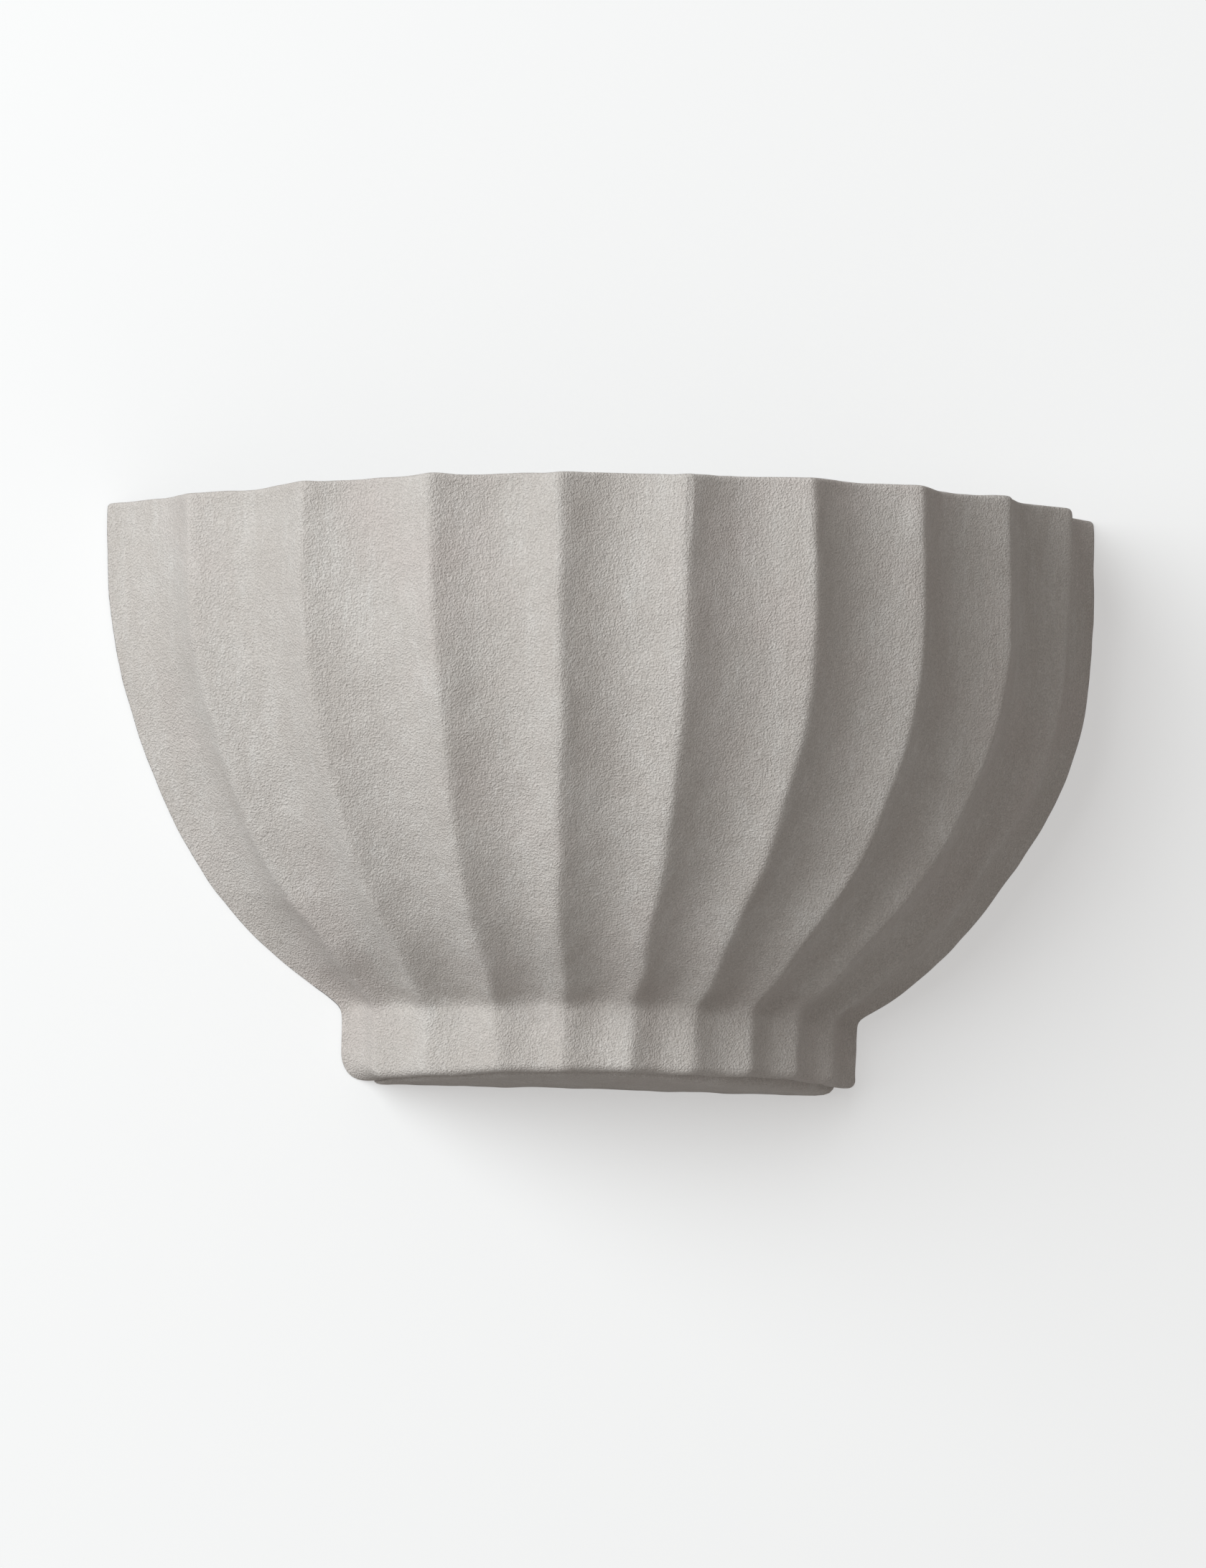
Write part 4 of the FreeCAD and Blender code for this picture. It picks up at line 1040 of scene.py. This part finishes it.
def finish_piece(
    mesh: bmesh.types.BMesh,
    name: str,
    body: str,
    material: bpy.types.Material,
    *nodes: str,
) -> bpy.types.Object:
    """Turn a bmesh into a piece that rides on a body.

    Args:
        mesh: the finished mesh, in place.
        name: name of the piece.
        body: the body that it rides on.
        material: its finish.
        nodes: nodes that it stands for.

    Returns:
        The new object.
    """
    data = bpy.data.meshes.new(name)
    mesh.to_mesh(data)
    mesh.free()
    piece = bpy.data.objects.new(name, data)
    bpy.context.scene.collection.objects.link(piece)
    data.materials.append(material)
    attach(piece, body)
    if nodes:
        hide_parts(*nodes)
    LOG.info("%s: %d faces on %s", name, len(data.polygons), body)
    return piece


# ------------------------------------------------------------------ finishes of the kept solids


@dataclass(frozen=True)
class Dressing:
    """A finish and the kept nodes that wear it."""

    finish: HardFinish
    nodes: tuple[str, ...]


@dataclass
class Fittings:
    """Finishes for the bracket, lampholder, wiring and bulb, which keep their solids."""

    dressings: tuple[Dressing, ...] = (
        Dressing(
            HardFinish("white_powder_coat", (0.78, 0.78, 0.75), (0.70, 0.70, 0.67), 0.42,
                       scale=2400.0, relief=0.0001),
            ("wall_bracket", "lamp_bracket"),
        ),
        Dressing(
            HardFinish("zinc_plate", (0.60, 0.61, 0.62), (0.44, 0.45, 0.46), 0.34, 1.0),
            ("hanger_left", "hanger_right", "lampholder_nipple", "lampholder_nut",
             "earth_washer"),
        ),
        Dressing(
            HardFinish("screw_steel", (0.55, 0.55, 0.54), (0.40, 0.40, 0.39), 0.30, 1.0),
            ("hanger_screws", "terminal_screws", "terminal_fixings", "earth_stud",
             "lamp_bracket_screws", "bulb_contact"),
        ),
        Dressing(
            HardFinish("brass_parts", (0.74, 0.55, 0.25), (0.55, 0.38, 0.16), 0.30, 1.0),
            ("shell_inserts", "terminal_clamps", "earth_ring", "earth_nut",
             "lampholder_sleeve", "lampholder_contact"),
        ),
        Dressing(
            HardFinish("glazed_porcelain", (0.86, 0.85, 0.81), (0.80, 0.78, 0.73), 0.16,
                       coat=0.6),
            ("lampholder_body",),
        ),
        Dressing(
            HardFinish("white_nylon", (0.80, 0.80, 0.77), (0.74, 0.73, 0.69), 0.45),
            ("terminal_block",),
        ),
        Dressing(
            HardFinish("black_nylon", (0.03, 0.03, 0.03), (0.05, 0.05, 0.05), 0.50),
            ("cable_bush", "bulb_insulator"),
        ),
        Dressing(
            HardFinish("nickel_cap", (0.66, 0.65, 0.61), (0.52, 0.51, 0.48), 0.28, 1.0),
            ("bulb_cap",),
        ),
        Dressing(
            HardFinish("white_housing", (0.82, 0.82, 0.81), (0.77, 0.77, 0.76), 0.38),
            ("bulb_housing",),
        ),
        Dressing(
            HardFinish("lamp_board", (0.70, 0.74, 0.70), (0.62, 0.66, 0.62), 0.45),
            ("bulb_led_board", "bulb_driver_board"),
        ),
        Dressing(
            HardFinish("opal_globe", (0.88, 0.88, 0.86), (0.85, 0.85, 0.83), 0.40, coat=0.2),
            ("bulb_globe",),
        ),
        Dressing(
            HardFinish("black_lead", (0.03, 0.03, 0.03), (0.05, 0.05, 0.05), 0.42),
            ("line_lead",),
        ),
        Dressing(
            HardFinish("white_lead", (0.80, 0.80, 0.78), (0.74, 0.74, 0.72), 0.42),
            ("neutral_lead",),
        ),
        Dressing(
            HardFinish("green_lead", (0.05, 0.28, 0.09), (0.04, 0.22, 0.07), 0.42),
            ("earth_lead",),
        ),
    )

    def dress(self) -> None:
        """Give every kept solid its finish."""
        for dressing in self.dressings:
            material = dressing.finish.build()
            for node in dressing.nodes:
                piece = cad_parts[node]
                piece.data.materials.clear()
                piece.data.materials.append(material)
                LOG.info("%s: %s", node, dressing.finish.name)


# ------------------------------------------------------------------ room, light and camera


@dataclass
class Studio:
    """Pale wall, soft key from the upper left and the camera at the photograph's angle."""

    frame_wide: float = 1680.0
    frame_tall: float = 2185.0
    pixels_per_mm: float = 3.483
    azimuth: float = 13.62
    below: float = 5.17
    distance: float = 9.0
    sensor: float = 36.0
    far_clip: float = 100.0
    rim_pixel: tuple[float, float] = (839.9, 708.6)
    backdrop: float = 0.905
    wall_half: float = 1.7
    wall_gap: float = 0.0006
    wall_glow: float = 0.39
    wall_catch: float = 0.615
    key_power: float = 233.0
    key_size: float = 4.2
    key_colour: Colour = (0.94, 0.983, 1.0)
    key_place: tuple[float, float, float] = (-3.30, -2.46, 1.54)
    key_aim: tuple[float, float, float] = (0.0, -0.05, 0.0)
    fill_strength: float = 0.322
    fill_colour: Colour = (1.0, 0.965, 0.93)

    def build_camera(self) -> None:
        """Aim the camera so that the rim's middle falls on its pixel."""
        turn = math.radians(self.azimuth)
        dip = math.radians(self.below)
        back = Vector(
            (-math.sin(turn) * math.cos(dip), -math.cos(turn) * math.cos(dip), -math.sin(dip))
        )
        right = (-back).cross(Vector((0.0, 0.0, 1.0))).normalized()
        up = right.cross(-back)
        metre_per_pixel = MM / self.pixels_per_mm
        aside = (self.frame_wide / 2.0 - self.rim_pixel[0]) * metre_per_pixel
        down = (self.frame_tall / 2.0 - self.rim_pixel[1]) * metre_per_pixel
        aim = Vector((0.0, 0.0, RIM_HEIGHT)) + right * aside - up * down
        data = bpy.data.cameras.new("camera")
        data.sensor_width = self.sensor
        data.lens = data.sensor_width * self.distance / (self.frame_tall * metre_per_pixel)
        camera = bpy.data.objects.new("camera", data)
        bpy.context.scene.collection.objects.link(camera)
        camera.location = aim + back * self.distance
        camera.rotation_mode = "QUATERNION"
        camera.rotation_quaternion = (-back).to_track_quat("-Z", "Y")
        data.clip_end = self.far_clip
        bpy.context.scene.camera = camera

    def build_wall(self) -> None:
        """Put a large pale wall just behind the light."""
        mesh = bmesh.new()
        bmesh.ops.create_grid(mesh, x_segments=2, y_segments=2, size=self.wall_half)
        bmesh.ops.rotate(mesh, verts=mesh.verts, matrix=Matrix.Rotation(math.pi / 2.0, 3, "X"))
        bmesh.ops.translate(mesh, verts=mesh.verts, vec=(0.0, self.wall_gap, 0.0))
        data = bpy.data.meshes.new("wall")
        mesh.to_mesh(data)
        mesh.free()
        wall = bpy.data.objects.new("wall", data)
        bpy.context.scene.collection.objects.link(wall)
        data.materials.append(self.wall_material())

    def wall_material(self) -> bpy.types.Material:
        """Pale matt wall that takes the shadow; it is clear from behind and to the room's light.

        Returns:
            The material.
        """
        material = bpy.data.materials.new("pale_wall")
        material.use_nodes = True
        sheet = NodeSheet(material.node_tree)
        material.node_tree.nodes.remove(material.node_tree.nodes["Principled BSDF"])
        catch = sheet.add("ShaderNodeBsdfDiffuse")
        catch.inputs["Color"].default_value = (*(self.wall_catch,) * 3, 1.0)
        glow = sheet.add("ShaderNodeEmission")
        glow.inputs["Strength"].default_value = self.wall_glow
        seen = sheet.add("ShaderNodeAddShader")
        sheet.wire(catch.outputs["BSDF"], seen.inputs[0])
        sheet.wire(glow.outputs["Emission"], seen.inputs[1])
        behind = sheet.add("ShaderNodeNewGeometry").outputs["Backfacing"]
        front = sheet.maths(Maths.SUBTRACT, 1.0, behind)
        mix = sheet.add("ShaderNodeMixShader")
        sheet.wire(sheet.times(sheet.seen_share(), front), mix.inputs[0])
        sheet.wire(sheet.add("ShaderNodeBsdfTransparent").outputs["BSDF"], mix.inputs[1])
        sheet.wire(seen.outputs["Shader"], mix.inputs[2])
        sheet.wire(mix.outputs["Shader"], sheet.tree.nodes["Material Output"].inputs["Surface"])
        return material

    def build_light(self) -> None:
        """One soft key from the upper left over an even pale room."""
        data = bpy.data.lights.new("key", "AREA")
        data.shape = "DISK"
        data.size = self.key_size
        data.energy = self.key_power
        data.color = self.key_colour
        key = bpy.data.objects.new("key", data)
        bpy.context.scene.collection.objects.link(key)
        key.location = self.key_place
        aim = Vector(self.key_aim) - Vector(self.key_place)
        key.rotation_mode = "QUATERNION"
        key.rotation_quaternion = aim.to_track_quat("-Z", "Y")
        world = bpy.data.worlds.new("room")
        world.use_nodes = True
        sheet = NodeSheet(world.node_tree)
        room = world.node_tree.nodes["Background"]
        room.inputs["Strength"].default_value = self.fill_strength
        room.inputs["Color"].default_value = (*self.fill_colour, 1.0)
        shown = sheet.add("ShaderNodeBackground")
        shown.inputs["Strength"].default_value = self.backdrop
        mix = sheet.add("ShaderNodeMixShader")
        sheet.wire(sheet.seen_share(), mix.inputs[0])
        sheet.wire(room.outputs["Background"], mix.inputs[1])
        sheet.wire(shown.outputs["Background"], mix.inputs[2])
        sheet.wire(mix.outputs["Shader"], sheet.tree.nodes["World Output"].inputs["Surface"])
        bpy.context.scene.world = world
        bpy.context.scene.view_settings.view_transform = "Standard"


def main() -> None:
    """Build the camera, the shell, the finishes and the room."""
    logging.basicConfig(level=logging.INFO, format="%(name)s %(message)s")
    studio = Studio()
    studio.build_camera()
    FlutedShell().build()
    Fittings().dress()
    studio.build_wall()
    studio.build_light()


if __name__ == "__main__":
    main()
